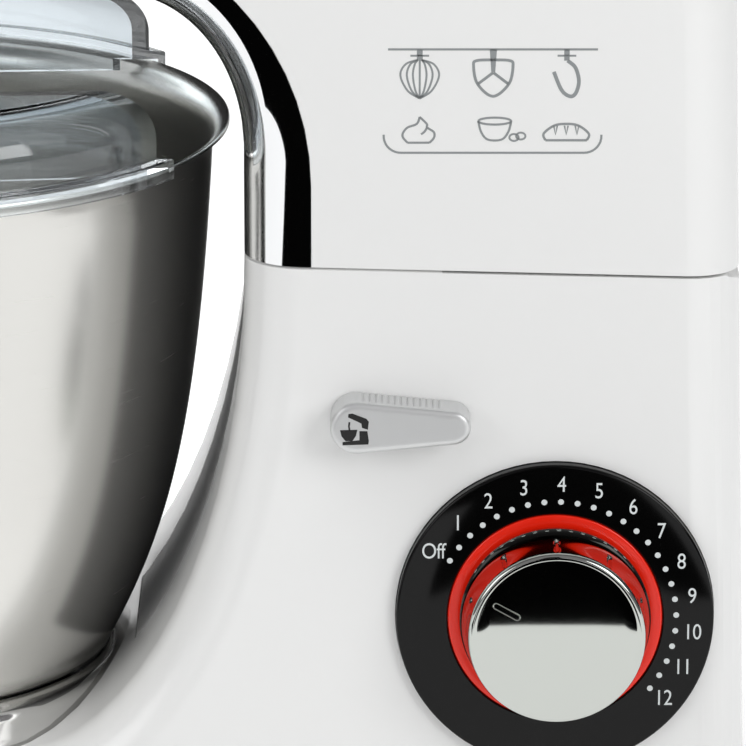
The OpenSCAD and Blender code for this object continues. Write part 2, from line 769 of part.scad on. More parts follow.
boss_spots = [[-37, 43], [-37, -43], [118, 43], [118, -43]];
chassis_z = 270;
chassis_t = 6;

module head_housing() color("white") at_bowl() moulding() difference() {
    head_form();
    difference() {
        head_form(wall);
        for (p = boss_spots) translate([p[0], p[1], chassis_z + chassis_t]) difference() {
            cylinder(r = 6, h = 100, $fn = 24);
            translate([0, 0, -1]) cylinder(r = screw_r + 0.1, h = 17, $fn = 16);
        }
    }
    below_seam(seam_gap / 2);
    from_side() band_region();
}

cover_end_z = 205;
// Plan of the dark cover: straight beside the neck, round under the nose.
module cover_plan(d = 0) {
    translate([-30, 0]) circle(r = cover_half - 6 + d);
    hull() {
        translate([-22, 0]) circle(r = cover_half - 3 + d, $fn = 48);
        translate([40, -cover_half - d]) square([column_front, 2 * (cover_half + d)]);
    }
}
module cover_region(d = 0) intersection() {
    translate([0, 0, cover_end_z - d]) linear_extrude(under_z + 8 - cover_end_z + d) cover_plan(d);
    translate([-far / 2, -far / 2, 0]) cube([far / 2 + column_front + 3 + d, far, far]);
}

module chrome_arch() color("silver") at_bowl() moulding() difference() {
    intersection() {
        head_shell();
        from_side() band_region(-fit_gap);
    }
    cover_region(fit_gap);
}

hub_hole = hub_r + 1.5;

module underside_cover() color("dimgray") at_bowl() difference() {
    moulding() intersection() {
        head_shell();
        from_side() band_region(-fit_gap);
        cover_region();
    }
    translate([0, 0, 200]) cylinder(r = hub_hole, h = 80);
}

// ---------------------------------------------------------------- head's inside

floor_t = 3;
// Floor of the neck: it closes the housing above the seam and carries the catch.
module neck_floor() color("gainsboro") at_bowl() moulding() difference() {
    intersection() {
        head_form(wall + fit_gap);
        difference() {
            below_seam(seam_gap / 2 + floor_t);
            below_seam(seam_gap / 2);
        }
        translate([0, -far / 2, 150]) cube([far, far, 60]);
    }
    for (s = [-1, 1]) translate([hinge_x - 13, s * arm_y - arm_t / 2 - 0.6, 100])
        cube([30, arm_t + 1.2, 100]);
}

// Catch under the floor: two cheeks with the bar that the hook holds.
module head_catch() color("slategray") {
    at_bowl() intersection() {
        for (s = [-1, 1]) translate([lever_x + catch_x - 4, s * catch_half - (s > 0 ? 2 : 0), lever_z + catch_z - 4])
            cube([8, 2, 60]);
        below_seam(seam_gap / 2);
    }
    at_lever() translate([catch_x, catch_z, -catch_half + 1]) cylinder(r = bar_r, h = 2 * catch_half - 2);
}

bearing_r = 11;
bearing_h = 6;
main_shaft_r = 6;
lay_shaft_r = 4;
lay_x = gear_m * (main_teeth + pinion_teeth) / 2;
motor_shaft_r = 3;
motor_top = chassis_z - 2;
motor_bottom = 198;

// Cast chassis: plate under the gears, bearing bosses, and two arms down to the hinge pin.
module gearbox_chassis() color("lightslategray") at_bowl() difference() {
    union() {
        translate([-46, -50, chassis_z]) cube([hinge_x + 46 - 30, 100, chassis_t]);
        for (x = [0, lay_x]) translate([x, 0, chassis_z - bearing_h]) cylinder(r = bearing_r + 4, h = 8);
        translate([0, 0, ring_z + gear_w]) tube(ring_out, ring_out - 4, chassis_z - ring_z - gear_w + 2);
        for (s = [-1, 1]) translate([0, s * arm_y + arm_t / 2, 0]) rotate([90, 0, 0]) linear_extrude(arm_t)
            polygon([[200, chassis_z + chassis_t], [224, chassis_z + chassis_t], [238, 240],
                     [hinge_x + 3.6, 200], [hinge_x + 3.6, hinge_z], [hinge_x, hinge_z - 4.8],
                     [hinge_x - 6, hinge_z], [hinge_x - 9, 196], [224, 232], [206, 252]]);
    }
    for (p = boss_spots) translate([p[0], p[1], 200]) cylinder(r = screw_r + 0.3, h = 92);
    for (x = [0, lay_x]) {
        translate([x, 0, 240]) cylinder(r = bearing_r + 0.02, h = chassis_z - 240 + 0.1);
        translate([x, 0, 240]) cylinder(r = main_shaft_r + 2, h = 60);
    }
    translate([motor_x, 0, 240]) cylinder(r = 12, h = 60);
    translate([hinge_x, 100, hinge_z]) rotate([90, 0, 0]) cylinder(r = pin_r + run_gap, h = 200);
}

module chassis_screws() color("silver") at_bowl() for (p = boss_spots) translate([p[0], p[1], 0]) {
    translate([0, 0, chassis_z - 1.8]) cylinder(r = 3.8, h = 1.8);
    translate([0, 0, chassis_z]) cylinder(r = screw_r, h = 18);
}

module gearbox_bearings() color("silver") at_bowl() {
    translate([0, 0, chassis_z - bearing_h]) tube(bearing_r, main_shaft_r + run_gap, bearing_h);
    translate([lay_x, 0, chassis_z - bearing_h]) tube(bearing_r, lay_shaft_r + run_gap, bearing_h);
}

// Involute gear outline. add and ded are the tooth's reach outside and inside the pitch circle, in
// modules, and play is taken off the tooth's thickness at the pitch circle.
pressure = 20;
function inv(a) = tan(a) * 180 / PI - a;
function tooth_half(r, rp, teeth, play) =
    let (rb = rp * cos(pressure), a = r > rb ? acos(rb / r) : 0)
    90 / teeth - play / (2 * rp) * 180 / PI + inv(pressure) - inv(a);
module gear_outline(teeth, m, add, ded, play) {
    rp = m * teeth / 2;
    rb = rp * cos(pressure);
    r0 = rp - ded * m;
    r1 = rp + add * m;
    rs = max(r0, rb);
    n = 4;
    radii = [r0, for (i = [0:n]) mix(rs + 0.02, r1, i / n)];
    polygon([
        for (k = [0:teeth - 1]) let (c = 360 * k / teeth) each concat(
            [for (r = radii) let (a = c - tooth_half(max(r, rs), rp, teeth, play)) r * [cos(a), sin(a)]],
            [for (r = reversed(radii)) let (a = c + tooth_half(max(r, rs), rp, teeth, play)) r * [cos(a), sin(a)]]
        )
    ]);
}

ring_teeth = planet_teeth + round(2 * orbit_r / orbit_m);
ring_rp = orbit_m * ring_teeth / 2;
ring_out = ring_rp + orbit_m * 1.25 + 5;
orbit_d = orbit_m * (ring_teeth - planet_teeth) / 2;
planet_side = 0;
ring_z = chassis_z - bearing_h - 0.6 - gear_w;
hub_top = ring_z - 1;
play = 0.3;

module ring_gear() color("ivory") at_bowl() translate([0, 0, ring_z]) rotate([0, 0, planet_side]) difference() {
    cylinder(r = ring_out, h = gear_w);
    translate([0, 0, -1]) linear_extrude(gear_w + 2) gear_outline(ring_teeth, orbit_m, 1.25, 0.8, -play);
}

module planet_gear() color("silver") at_bowl() rotate([0, 0, planet_side]) translate([orbit_d, 0, ring_z + 0.4])
    difference() {
        linear_extrude(gear_w - 0.8) gear_outline(planet_teeth, orbit_m, 0.9, 1.2, play);
        translate([0, 0, -1]) cylinder(r = tool_shaft_r + 0.02, h = gear_w + 2);
    }

gear_z = chassis_z + chassis_t + 2;
module main_gear() color("ivory") at_bowl() translate([0, 0, gear_z]) difference() {
    union() {
        linear_extrude(gear_w) gear_outline(main_teeth, gear_m, 1, 1.2, play);
        cylinder(r = 12, h = gear_w + 2);
    }
    for (i = [0:5]) rotate([0, 0, 60 * i + 30]) translate([23, 0, -1]) cylinder(r = 6.5, h = gear_w + 2);
    translate([0, 0, -1]) cylinder(r = main_shaft_r + 0.02, h = 20);
}

lay_gear_z = gear_z - 0.5;
belt_z = gear_z + gear_w + 6;
module layshaft() color("gray") at_bowl() translate([lay_x, 0, 0]) {
    translate([0, 0, chassis_z - bearing_h]) cylinder(r = lay_shaft_r, h = lay_gear_z - chassis_z + bearing_h);
    translate([0, 0, lay_gear_z]) rotate([0, 0, 180 + 180 / pinion_teeth]) linear_extrude(gear_w + 1)
        gear_outline(pinion_teeth, gear_m, 1, 1.2, play);
    translate([0, 0, lay_gear_z + gear_w + 1]) cylinder(r = lay_shaft_r, h = belt_z + belt_w + 2 - lay_gear_z - gear_w);
}

module pulley(r, bore, web) difference() {
    union() {
        cylinder(r = r, h = belt_w + 2);
        translate([0, 0, -1.2]) cylinder(r = r + 2, h = 1.2);
        translate([0, 0, belt_w + 2]) cylinder(r = r + 2, h = 1.2);
    }
    if (web > 0) translate([0, 0, 4]) difference() {
        cylinder(r = r - 4, h = 20);
        cylinder(r = web, h = 20);
    }
    translate([0, 0, -3]) cylinder(r = bore + 0.02, h = 40);
}

module large_pulley() color("dimgray") at_bowl() translate([lay_x, 0, belt_z - 1]) pulley(pulley_r, lay_shaft_r, 11);
module motor_pulley() color("silver") at_bowl() translate([motor_x, 0, belt_z - 1]) pulley(small_pulley_r, motor_shaft_r, 0);

// Belt round both pulleys; the tangent lines touch both circles.
belt_t = 2;
belt_gap = 0.25;
module belt_outline(d) {
    span = motor_x - lay_x;
    lean = asin((pulley_r - small_pulley_r) / span);
    polygon([
        for (i = [0:24]) let (a = mix(90 - lean, 270 + lean, i / 24))
            [lay_x, 0] + (pulley_r + d) * [cos(a), sin(a)],
        for (i = [0:12]) let (a = mix(-90 + lean, 90 - lean, i / 12))
            [motor_x, 0] + (small_pulley_r + d) * [cos(a), sin(a)]
    ]);
}
module drive_belt() color("black") at_bowl() translate([0, 0, belt_z]) linear_extrude(belt_w) difference() {
    belt_outline(belt_gap + 0.4 + belt_t);
    belt_outline(belt_gap + 0.4);
}

module motor_case() color("gray") at_bowl() translate([motor_x, 0, 0]) difference() {
    translate([0, 0, motor_bottom]) cylinder(r = motor_r, h = motor_top + 2 - motor_bottom);
    translate([0, 0, motor_bottom + 3]) cylinder(r = motor_r - 2, h = motor_top - motor_bottom - 4);
    translate([0, 0, motor_bottom - 1]) cylinder(r = motor_shaft_r + run_gap, h = 100);
    for (i = [0:5]) rotate([0, 0, 60 * i]) translate([20, 0, motor_bottom - 1]) cylinder(r = 7, h = 5);
    for (i = [0:5]) rotate([0, 0, 60 * i + 30]) translate([motor_r - 6, -5, motor_bottom + 8]) cube([10, 10, 12]);
}

stator_z = motor_bottom + 24;
armature_r = 20;
module motor_stator() color("darkgoldenrod") at_bowl() translate([motor_x, 0, stator_z]) difference() {
    union() {
        cylinder(r = motor_r - 2.3, h = 30);
        for (s = [-1, 1]) rotate([0, 0, s > 0 ? 0 : 180]) rotate([0, 0, -55]) translate([0, 0, -5])
            rotate_extrude(angle = 110) translate([armature_r + 2, 0]) square([10, 40]);
    }
    translate([0, 0, -10]) cylinder(r = armature_r + 0.6, h = 60);
}

module armature() color("peru") at_bowl() translate([motor_x, 0, 0]) difference() {
    union() {
        translate([0, 0, stator_z]) cylinder(r = armature_r, h = 30);
        translate([0, 0, stator_z - 5]) cylinder(r = armature_r - 4, h = 40);
        translate([0, 0, motor_bottom + 6]) cylinder(r = 11, h = 12);
    }
    translate([0, 0, 180]) cylinder(r = motor_shaft_r + 0.02, h = 100);
    for (i = [0:11]) rotate([0, 0, 30 * i]) translate([armature_r - 3, -0.8, stator_z - 1]) cube([6, 1.6, 32]);
}

module motor_shaft() color("silver") at_bowl() translate([motor_x, 0, motor_bottom - 12])
    cylinder(r = motor_shaft_r, h = belt_z + belt_w + 2 - motor_bottom + 12);

fan_z = motor_bottom - 11;
module cooling_fan() color("ivory") at_bowl() translate([motor_x, 0, fan_z]) difference() {
    union() {
        cylinder(r = 8, h = 9);
        cylinder(r = 30, h = 1.4);
        for (i = [0:8]) rotate([0, 0, 40 * i + 7]) translate([6.5, -0.7, 0.7]) rotate([0, 0, 18]) cube([21, 1.4, 7.8]);
    }
    translate([0, 0, -1]) cylinder(r = motor_shaft_r + 0.02, h = 20);
}

// ---------------------------------------------------------------- planet carrier and tool

hub_z = under_z - 7;
bush_in = tool_shaft_r + run_gap;

module main_shaft() color("silver") at_bowl() {
    translate([0, 0, hub_top - 5]) cylinder(r = main_shaft_r, h = gear_z + gear_w + 2.5 - hub_top + 5);
    translate([0, 0, chassis_z - bearing_h - 0.2]) tube(main_shaft_r + 1.5, main_shaft_r - 0.5, 0.15);
}

module tool_place() rotate([0, 0, planet_side]) translate([orbit_d, 0, 0]) children();

module hub_cover() color("lightgray") at_bowl() difference() {
    union() {
        rotate_extrude() polygon([
            [0, hub_z], [hub_r - 7, hub_z], [hub_r - 2, hub_z + 2.4], [hub_r, hub_z + 6.5], [hub_r, hub_top], [0, hub_top]
        ]);
        tool_place() translate([0, 0, hub_z - 6]) cylinder(r = tool_shaft_r + 5, h = 12);
    }
    difference() {
        translate([0, 0, hub_z + 4]) cylinder(r = hub_r - 3, h = hub_top);
        translate([0, 0, hub_z]) cylinder(r = 13, h = hub_top);
        tool_place() translate([0, 0, hub_z]) cylinder(r = tool_shaft_r + 5, h = hub_top);
        rotate([0, 0, planet_side]) translate([0, -4, hub_z]) cube([orbit_d, 8, hub_top - hub_z]);
    }
    tool_place() translate([0, 0, hub_z - 20]) cylinder(r = bush_in, h = 100);
    translate([0, 0, hub_top - 5]) cylinder(r = main_shaft_r + 0.02, h = 20);
}

socket_z = hub_z - 26;
module at_tool() at_bowl() tool_place() children();

module tool_shaft() color("silver") at_tool() {
    translate([0, 0, socket_z]) cylinder(r = tool_shaft_r, h = ring_z + gear_w - 0.6 - socket_z);
    translate([0, 9, socket_z + 7]) rotate([90, 0, 0]) cylinder(r = 1.6, h = 18, $fn = 24);
}

// Dough hook: a straight shank that bends out and comes back under itself in one large arc.
socket_r = tool_shaft_r + 3.2;
bend_a = 60;
tip_a = 30;
hook_reach = hook_half - hook_d / 2;
hook_arc = 2 * hook_reach / (1 + cos(tip_a));
hook_bend = hook_reach / (1 - cos(bend_a)) - hook_arc;
shank_end = hook_bottom + hook_d / 2 + hook_arc + (hook_arc + hook_bend) * sin(bend_a);

module bent_bar(r, a0, a1) rotate([90, 0, 0]) rotate([0, 0, a0]) rotate_extrude(angle = a1 - a0)
    translate([r, 0]) circle(r = hook_d / 2, $fn = 32);

module dough_hook() color("silver") at_tool() {
    difference() {
        union() {
            translate([0, 0, socket_z - 4]) cylinder(r = socket_r, h = 21);
            translate([0, 0, socket_z - 8]) cylinder(r1 = hook_d / 2, r2 = socket_r, h = 4);
            translate([0, 0, shank_end]) cylinder(r = hook_d / 2, h = socket_z - 8 - shank_end);
        }
        translate([0, 0, socket_z - 0.2]) cylinder(r = tool_shaft_r + 0.02, h = 40);
        for (a = [90, 270]) {
            sector(tool_shaft_r - 1, socket_r + 4, a - 40, a + 22, socket_z + 5.2, 3.6);
            rotate([0, 0, a - 28]) translate([tool_shaft_r - 1, -2, socket_z + 5.2]) cube([8, 4, 20]);
        }
    }
    translate([hook_bend, 0, shank_end]) bent_bar(hook_bend, 180, 180 + bend_a);
    translate([hook_bend * (1 - cos(bend_a)), 0, shank_end - hook_bend * sin(bend_a)])
        sphere(r = hook_d / 2 + 0.05);
    translate([hook_reach - hook_arc, 0, hook_bottom + hook_d / 2 + hook_arc]) {
        bent_bar(hook_arc, tip_a - 180, bend_a);
        rotate([0, 180 - tip_a, 0]) translate([hook_arc, 0, 0]) sphere(r = hook_d / 2, $fn = 32);
    }
}

// ---------------------------------------------------------------- drawing

base_housing();
bottom_plate();
rubber_feet();
base_screws();
front_panel();
bowl_lock_plate();
dial_bezel();
light_ring();
speed_control();
control_board();
column_frame();
hinge_pin();
lever_bush();
latch_spring();
cord_gland();
speed_knob();
knob_shaft();
release_lever();
lever_shaft();
latch_hook();
bowl();
bowl_foot();
splash_guard();
head_housing();
chrome_arch();
underside_cover();
neck_floor();
head_catch();
gearbox_chassis();
chassis_screws();
ring_gear();
gearbox_bearings();
motor_case();
motor_stator();
drive_belt();
armature();
motor_shaft();
cooling_fan();
motor_pulley();
layshaft();
large_pulley();
main_shaft();
main_gear();
hub_cover();
planet_gear();
tool_shaft();
dough_hook();
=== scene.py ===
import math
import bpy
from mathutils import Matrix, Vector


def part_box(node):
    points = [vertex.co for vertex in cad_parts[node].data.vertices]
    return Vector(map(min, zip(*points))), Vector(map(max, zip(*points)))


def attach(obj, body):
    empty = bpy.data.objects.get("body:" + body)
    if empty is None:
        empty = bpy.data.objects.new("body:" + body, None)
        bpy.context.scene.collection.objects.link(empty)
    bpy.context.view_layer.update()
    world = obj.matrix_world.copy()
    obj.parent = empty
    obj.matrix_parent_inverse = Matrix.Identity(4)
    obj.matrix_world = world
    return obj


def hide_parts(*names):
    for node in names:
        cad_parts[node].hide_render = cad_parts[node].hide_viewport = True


bl_info = {
    "name": "Tilt-head stand mixer",
    "version": (1, 0, 0),
    "blender": (4, 5, 0),
    "location": "View3D > Sidebar > Mixer",
    "description": "Dresses the CAD frame of a stand mixer with its finishes and printed marks",
    "category": "Object",
}

import bmesh
import bpy
from mathutils import Matrix, Vector
from mathutils.bvhtree import BVHTree
from mathutils.interpolate import poly_3d_calc

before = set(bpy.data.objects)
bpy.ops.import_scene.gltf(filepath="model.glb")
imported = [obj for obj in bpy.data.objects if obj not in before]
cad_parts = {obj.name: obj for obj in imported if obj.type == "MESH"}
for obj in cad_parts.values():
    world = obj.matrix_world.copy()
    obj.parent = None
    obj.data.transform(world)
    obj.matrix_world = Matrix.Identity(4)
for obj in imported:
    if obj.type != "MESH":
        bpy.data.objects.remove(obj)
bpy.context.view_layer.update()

MM = 0.001


def middle(node):
    """Centre of a CAD node's box, in millimetres."""
    low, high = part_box(node)
    return [(a + b) / 2 / MM for a, b in zip(low, high)]


def low_high(node, axis):
    """Lowest and highest place of a CAD node along an axis, in millimetres."""
    low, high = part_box(node)
    return low[axis] / MM, high[axis] / MM


def half_size(node, axis):
    low, high = low_high(node, axis)
    return (high - low) / 2


BOWL_X = middle("bowl")[0]
BOWL_R = half_size("bowl", 0)
RIM_Z = low_high("bowl", 2)[1]
BOWL_H = 178.6
BOWL_WALL = 1.0
SEAT_Z = 22.0
FOOT_R = 78.0
FOOT_H = 17.0
GUARD_WALL = 2.5
SLOT_HALF = 65.0
SLOT_FRONT = 82.0
GUARD_TURN = 3.0
DIAL_X = middle("knob_shaft")[0]
DIAL_Z = 74.0
DRAFT = 1.0
BASE_TOP = 27.0
COLUMN_HALF = 80.0
COLUMN_FRONT = 115.5
COLUMN_BACK = 256.0
SEAM_Z = 176.5
REAR_LEAN = 0.0235
EDGE_R = 16.0
NOSE_X = 118.0
HEAD_TOP = 335.0
UNDER_Z = 252.0
ARCH_R = 35.5
ARCH_H = 45.0
BEZEL_R = 45.4
BEZEL_PROUD = 3.4
RING_R = 30.6
KNOB_R = 27.3
KNOB_H = 19.4
OFF_ANGLE = 150.4
RIM_H = 8.6
PRINT_GAP = 0.05
LEAST_FACING = 0.86
CAPITAL_H = 0.73


def half_width(z):
    """Distance of the drafted side from the middle, at a height, in millimetres."""
    return COLUMN_HALF - math.tan(math.radians(DRAFT)) * (z - BASE_TOP)


# Settings


class MixerSizes(bpy.types.PropertyGroup):
    mark_radius: bpy.props.FloatProperty(
        name="Mark radius", description="Distance from the dial's centre, mm", default=34.6, min=32, max=38
    )
    mark_size: bpy.props.FloatProperty(
        name="Mark size", description="Radius of one mark on the dial, mm", default=0.84, min=0.4, max=1.5
    )
    mark_count: bpy.props.IntProperty(
        name="Marks", description="Number of marks on the dial", default=25, min=5, max=41
    )
    mark_step: bpy.props.FloatProperty(
        name="Mark step", description="Angle between two marks, degrees", default=7.842, min=4, max=12
    )
    numeral_radius: bpy.props.FloatProperty(
        name="Numeral radius", description="Distance from the dial's centre, mm", default=39.6, min=36, max=43
    )
    numeral_height: bpy.props.FloatProperty(
        name="Numeral height", description="Height of a numeral, mm", default=4.8, min=2, max=6
    )
    print_width: bpy.props.FloatProperty(
        name="Print width", description="Width of the lines on the head, mm", default=0.62, min=0.3, max=1.5
    )


class MixerColours(bpy.types.PropertyGroup):
    shell: bpy.props.StringProperty(
        name="Shell", description="Colour of the moulded housings, sRGB hex", default="F1F1F0"
    )
    ring: bpy.props.StringProperty(
        name="Ring", description="Colour of the light ring, sRGB hex", default="E8250F"
    )
    printing: bpy.props.StringProperty(
        name="Printing", description="Colour of the printed lines, sRGB hex", default="8F9394"
    )


# Colours and materials


def srgb(code, alpha=1.0):
    """Linear colour from an sRGB hex code."""
    values = [int(code[i : i + 2], 16) / 255 for i in (0, 2, 4)]
    linear = [v / 12.92 if v <= 0.04045 else ((v + 0.055) / 1.055) ** 2.4 for v in values]
    return (*linear, alpha)


def add_node(tree, kind, links=None, **settings):
    """Adds a node, sets its properties or sockets, and links {input name: output socket}."""
    node = tree.nodes.new(kind)
    for key, value in settings.items():
        if hasattr(node, key):
            setattr(node, key, value)
        else:
            node.inputs[key.replace("_", " ")].default_value = value
    for key, source in (links or {}).items():
        tree.links.new(source, node.inputs[key])
    return node


MATERIALS = {}


def material(name, colour, roughness, metallic=0.0, finish=None, **sockets):
    """A Principled material, made once. finish adds its pattern to the tree."""
    if name in MATERIALS:
        return MATERIALS[name]
    mat = bpy.data.materials.new(name)
    mat.use_nodes = True
    tree = mat.node_tree
    shader = tree.nodes["Principled BSDF"]
    shader.inputs["Base Color"].default_value = srgb(colour)
    shader.inputs["Roughness"].default_value = roughness
    shader.inputs["Metallic"].default_value = metallic
    for key, value in sockets.items():
        shader.inputs[key.replace("_", " ")].default_value = value
    mat.diffuse_color = srgb(colour)
    if finish:
        finish(tree, shader)
    MATERIALS[name] = mat
    return mat


def raise_surface(tree, shader, height, strength, depth_mm):
    """Lets a pattern raise and lower the surface."""
    bump = add_node(tree, "ShaderNodeBump", {"Height": height}, Strength=strength, Distance=depth_mm * MM)
    tree.links.new(bump.outputs["Normal"], shader.inputs["Normal"])


def fine_grain(size_mm, depth_mm, strength):
    """Finish with a moulded or blasted grain of one size."""

    def finish(tree, shader):
        place = add_node(tree, "ShaderNodeTexCoord").outputs["Object"]
        grain = add_node(tree, "ShaderNodeTexNoise", {"Vector": place}, Scale=1 / (size_mm * MM), Detail=2.0)
        raise_surface(tree, shader, grain.outputs["Fac"], strength, depth_mm)

    return finish


def brushed(stretch, low, high, scale_mm, depth_mm=0.004):
    """Finish with fine lines: stretch is how long a line is against its width along X, Y and Z."""

    def finish(tree, shader):
        place = add_node(tree, "ShaderNodeTexCoord").outputs["Object"]
        turn = add_node(tree, "ShaderNodeMapping", {"Vector": place})
        turn.inputs["Scale"].default_value = [1 / (scale_mm * MM * s) for s in stretch]
        place = turn.outputs["Vector"]
        lines = add_node(tree, "ShaderNodeTexNoise", {"Vector": place}, Scale=1.0, Detail=3.0).outputs["Fac"]
        rough = add_node(tree, "ShaderNodeMapRange", {"Value": lines}, To_Min=low, To_Max=high)
        tree.links.new(rough.outputs["Result"], shader.inputs["Roughness"])
        raise_surface(tree, shader, lines, 0.25, depth_mm)

    return finish


def white_abs():
    # Moulded ABS with a polished tool: an even white with soft, slightly blurred reflections.
    colour = bpy.context.scene.mixer_colours.shell
    return material("white polished ABS", colour, 0.22, IOR=1.5, Coat_Weight=0.15, Coat_Roughness=0.08)


def grained_abs():
    # ABS from a spark-eroded tool: matt light grey with a grain that can be felt. Its grey is set lighter
    # than the plastic's own, as painted light for the shaded gap between bowl and column.
    return material("spark-eroded grey ABS", "E8E8E7", 0.6, finish=fine_grain(0.8, 0.1, 0.35))


def black_acrylic():
    # Back-printed acrylic disc: deep black under a clear, glossy face.
    return material("black acrylic", "060606", 0.07, IOR=1.49, Specular_IOR_Level=0.22)


def red_acrylic():
    # Tinted light guide: saturated red with a little light of its own, as it spreads what is behind it.
    colour = bpy.context.scene.mixer_colours.ring
    glow = {"Emission_Color": srgb("E01C08"), "Emission_Strength": 0.1}
    return material("red acrylic light guide", colour, 0.16, IOR=1.49, **glow)


def chrome_plate():
    # Plated plastic: a clean mirror, a little darker than silver.
    return material("chrome plate on ABS", "E4E5E6", 0.035, 1.0)


def smoky_chrome():
    # The same mirror as the arch's plating, one shade darker and a touch green.
    return material("darker chrome plate", "BFC2BD", 0.03, 1.0)


def satin_chrome():
    # Pearl chrome plating over a blasted tool: even, soft silver without a mirror image.
    return material("pearl chrome plate", "D4D5D5", 0.42, 0.7, finish=fine_grain(0.22, 0.01, 0.12))


def brushed_stainless():
    # Stainless sheet brushed round the bowl on a lathe: long level lines that smear reflections upright.
    lines = brushed((80, 80, 1), 0.2, 0.3, 0.3, 0.0015)
    return material("brushed stainless sheet", "D6D5D1", 0.3, 1.0, finish=lines)


def polished_stainless():
    return material("polished stainless", "D6D6D4", 0.1, 1.0)


def clear_acrylic():
    # Injection-moulded clear acrylic: nearly colourless, with edges that look grey-blue.
    return material("clear acrylic", "EEF3F6", 0.02, IOR=1.49, Transmission_Weight=1.0, Alpha=0.93)


def dark_gloss_abs():
    # Smoke-grey ABS with a polished face.
    return material("dark gloss ABS", "2A2B2E", 0.12)


def nitrile():
    # Moulded rubber: matt black that greys towards grazing angles.
    return material("nitrile rubber", "161616", 0.75)


def bright_steel():
    # Turned or ground steel that has been left bright.
    return material("bright steel", "B9BABC", 0.22, 1.0)


def zinc_steel():
    # Pressed steel with a dull zinc coat.
    return material("zinc-coated steel", "6E7174", 0.42, 0.9)


def cast_aluminium():
    # Die-cast alloy: grey with a fine cast skin.
    return material("die-cast aluminium", "9A9DA1", 0.45, 0.9, finish=fine_grain(0.8, 0.05, 0.3))


def natural_nylon():
    # Machined or moulded nylon: warm, waxy off-white.
    return material("natural nylon", "DDD8C8", 0.45, Subsurface_Weight=0.1, Subsurface_Scale=0.002)


def copper_winding():
    # Enamelled copper wire, wound in layers.
    return material("enamelled copper", "A5552A", 0.35, 0.8, finish=brushed((8, 8, 1), 0.3, 0.5, 1.0))


def circuit_board():
    return material("solder-masked board", "12512C", 0.35)


def printed_grey():
    # Pad-printed ink, level with the plastic and a little duller.
    return material("grey printing ink", bpy.context.scene.mixer_colours.printing, 0.5)


def printed_white():
    return material("white printing ink", "DDE2E2", 0.5)


def printed_black():
    return material("black printing ink", "101010", 0.5)


PLAIN_FINISHES = {
    dark_gloss_abs: ("bottom_plate", "speed_control", "large_pulley"),
    nitrile: ("rubber_feet", "cord_gland", "drive_belt"),
    bright_steel: (
        "base_screws", "chassis_screws", "bowl_lock_plate", "hinge_pin", "knob_shaft",
        "lever_shaft", "latch_spring", "motor_shaft", "main_shaft", "tool_shaft",
        "gearbox_bearings", "motor_pulley",
    ),
    circuit_board: ("control_board",),
    zinc_steel: ("column_frame", "head_catch", "latch_hook", "layshaft", "planet_gear", "motor_case"),
    natural_nylon: ("lever_bush", "ring_gear", "main_gear", "cooling_fan"),
    white_abs: ("neck_floor",),
    cast_aluminium: ("gearbox_chassis",),
    copper_winding: ("motor_stator", "armature"),
    satin_chrome: ("dough_hook",),
}


# Mesh helpers


def new_object(name, data, *mats):
    """Object in the scene. Spaces in its name become underscores."""
    for mat in mats:
        data.materials.append(mat)
    obj = bpy.data.objects.new(name.replace(" ", "_"), data)
    bpy.context.scene.collection.objects.link(obj)
    return obj


def mesh_from(name, points, faces, smooth=True):
    """Mesh from points in millimetres."""
    mesh = bpy.data.meshes.new(name)
    mesh.from_pydata([[c * MM for c in p] for p in points], [], faces)
    mesh.validate()
    mesh.polygons.foreach_set("use_smooth", [smooth] * len(mesh.polygons))
    return mesh


def tidy(mesh, angle=None, distance_mm=0.001):
    """Merges doubles, points the faces outwards and marks sharp edges over an angle in degrees."""
    work = bmesh.new()
    work.from_mesh(mesh)
    bmesh.ops.remove_doubles(work, verts=work.verts, dist=distance_mm * MM)
    bmesh.ops.recalc_face_normals(work, faces=work.faces)
    work.to_mesh(mesh)
    work.free()
    mesh.polygons.foreach_set("use_smooth", [True] * len(mesh.polygons))
    if angle:
        mesh.set_sharp_from_angle(angle=math.radians(angle))


def applied(obj):
    """Plain mesh of an object with its modifiers applied."""
    graph = bpy.context.evaluated_depsgraph_get()
    return bpy.data.meshes.new_from_object(obj.evaluated_get(graph))


def shift(x, y, z):
    """Matrix of a move, in millimetres."""
    return Matrix.Translation((x * MM, y * MM, z * MM))


def turned(degrees, axis):
    """Matrix of a turn round an axis."""
    return Matrix.Rotation(math.radians(degrees), 4, axis)


def bezier(points, t):
    """Point at t on the cubic curve of four points."""
    a, b, c, d = ((1 - t) ** 3, 3 * (1 - t) ** 2 * t, 3 * (1 - t) * t * t, t ** 3)
    return tuple(a * p + b * q + c * r + d * s for p, q, r, s in zip(*points))


def curve(points, steps):
    """Points along the cubic curve of four points."""
    return [bezier(points, i / steps) for i in range(steps + 1)]


def arc(centre, rx, rz, start, end, steps):
    """Points on an ellipse's arc, angles in degrees."""
    turns = [math.radians(start + (end - start) * i / steps) for i in range(steps + 1)]
    return [(centre[0] + rx * math.cos(a), centre[1] + rz * math.sin(a)) for a in turns]


def back_x(z):
    """Distance of the leaning back wall from the bowl's axis, at a height."""
    return COLUMN_BACK + (SEAM_Z - z) * REAR_LEAN


def side_rounded(outer, core, depth, steps=16):
    """Body with the side view outer in its middle and core on its flat sides, rounded between them."""
    rings = []
    turns = [90 * i / steps for i in range(steps + 1)]
    for side, order in ((-1, turns[::-1]), (1, turns)):
        for degrees in order:
            a = math.radians(degrees)
            w = 1 - math.cos(a)
            ring = []
            for (ox, oz), (cx, cz), deep in zip(outer, core, depth):
                y = half_width(cz) - deep * (1 - math.sin(a))
                ring.append((ox + (cx - ox) * w + BOWL_X, side * y, oz + (cz - oz) * w))
            rings.append(ring)
    return loft(rings)


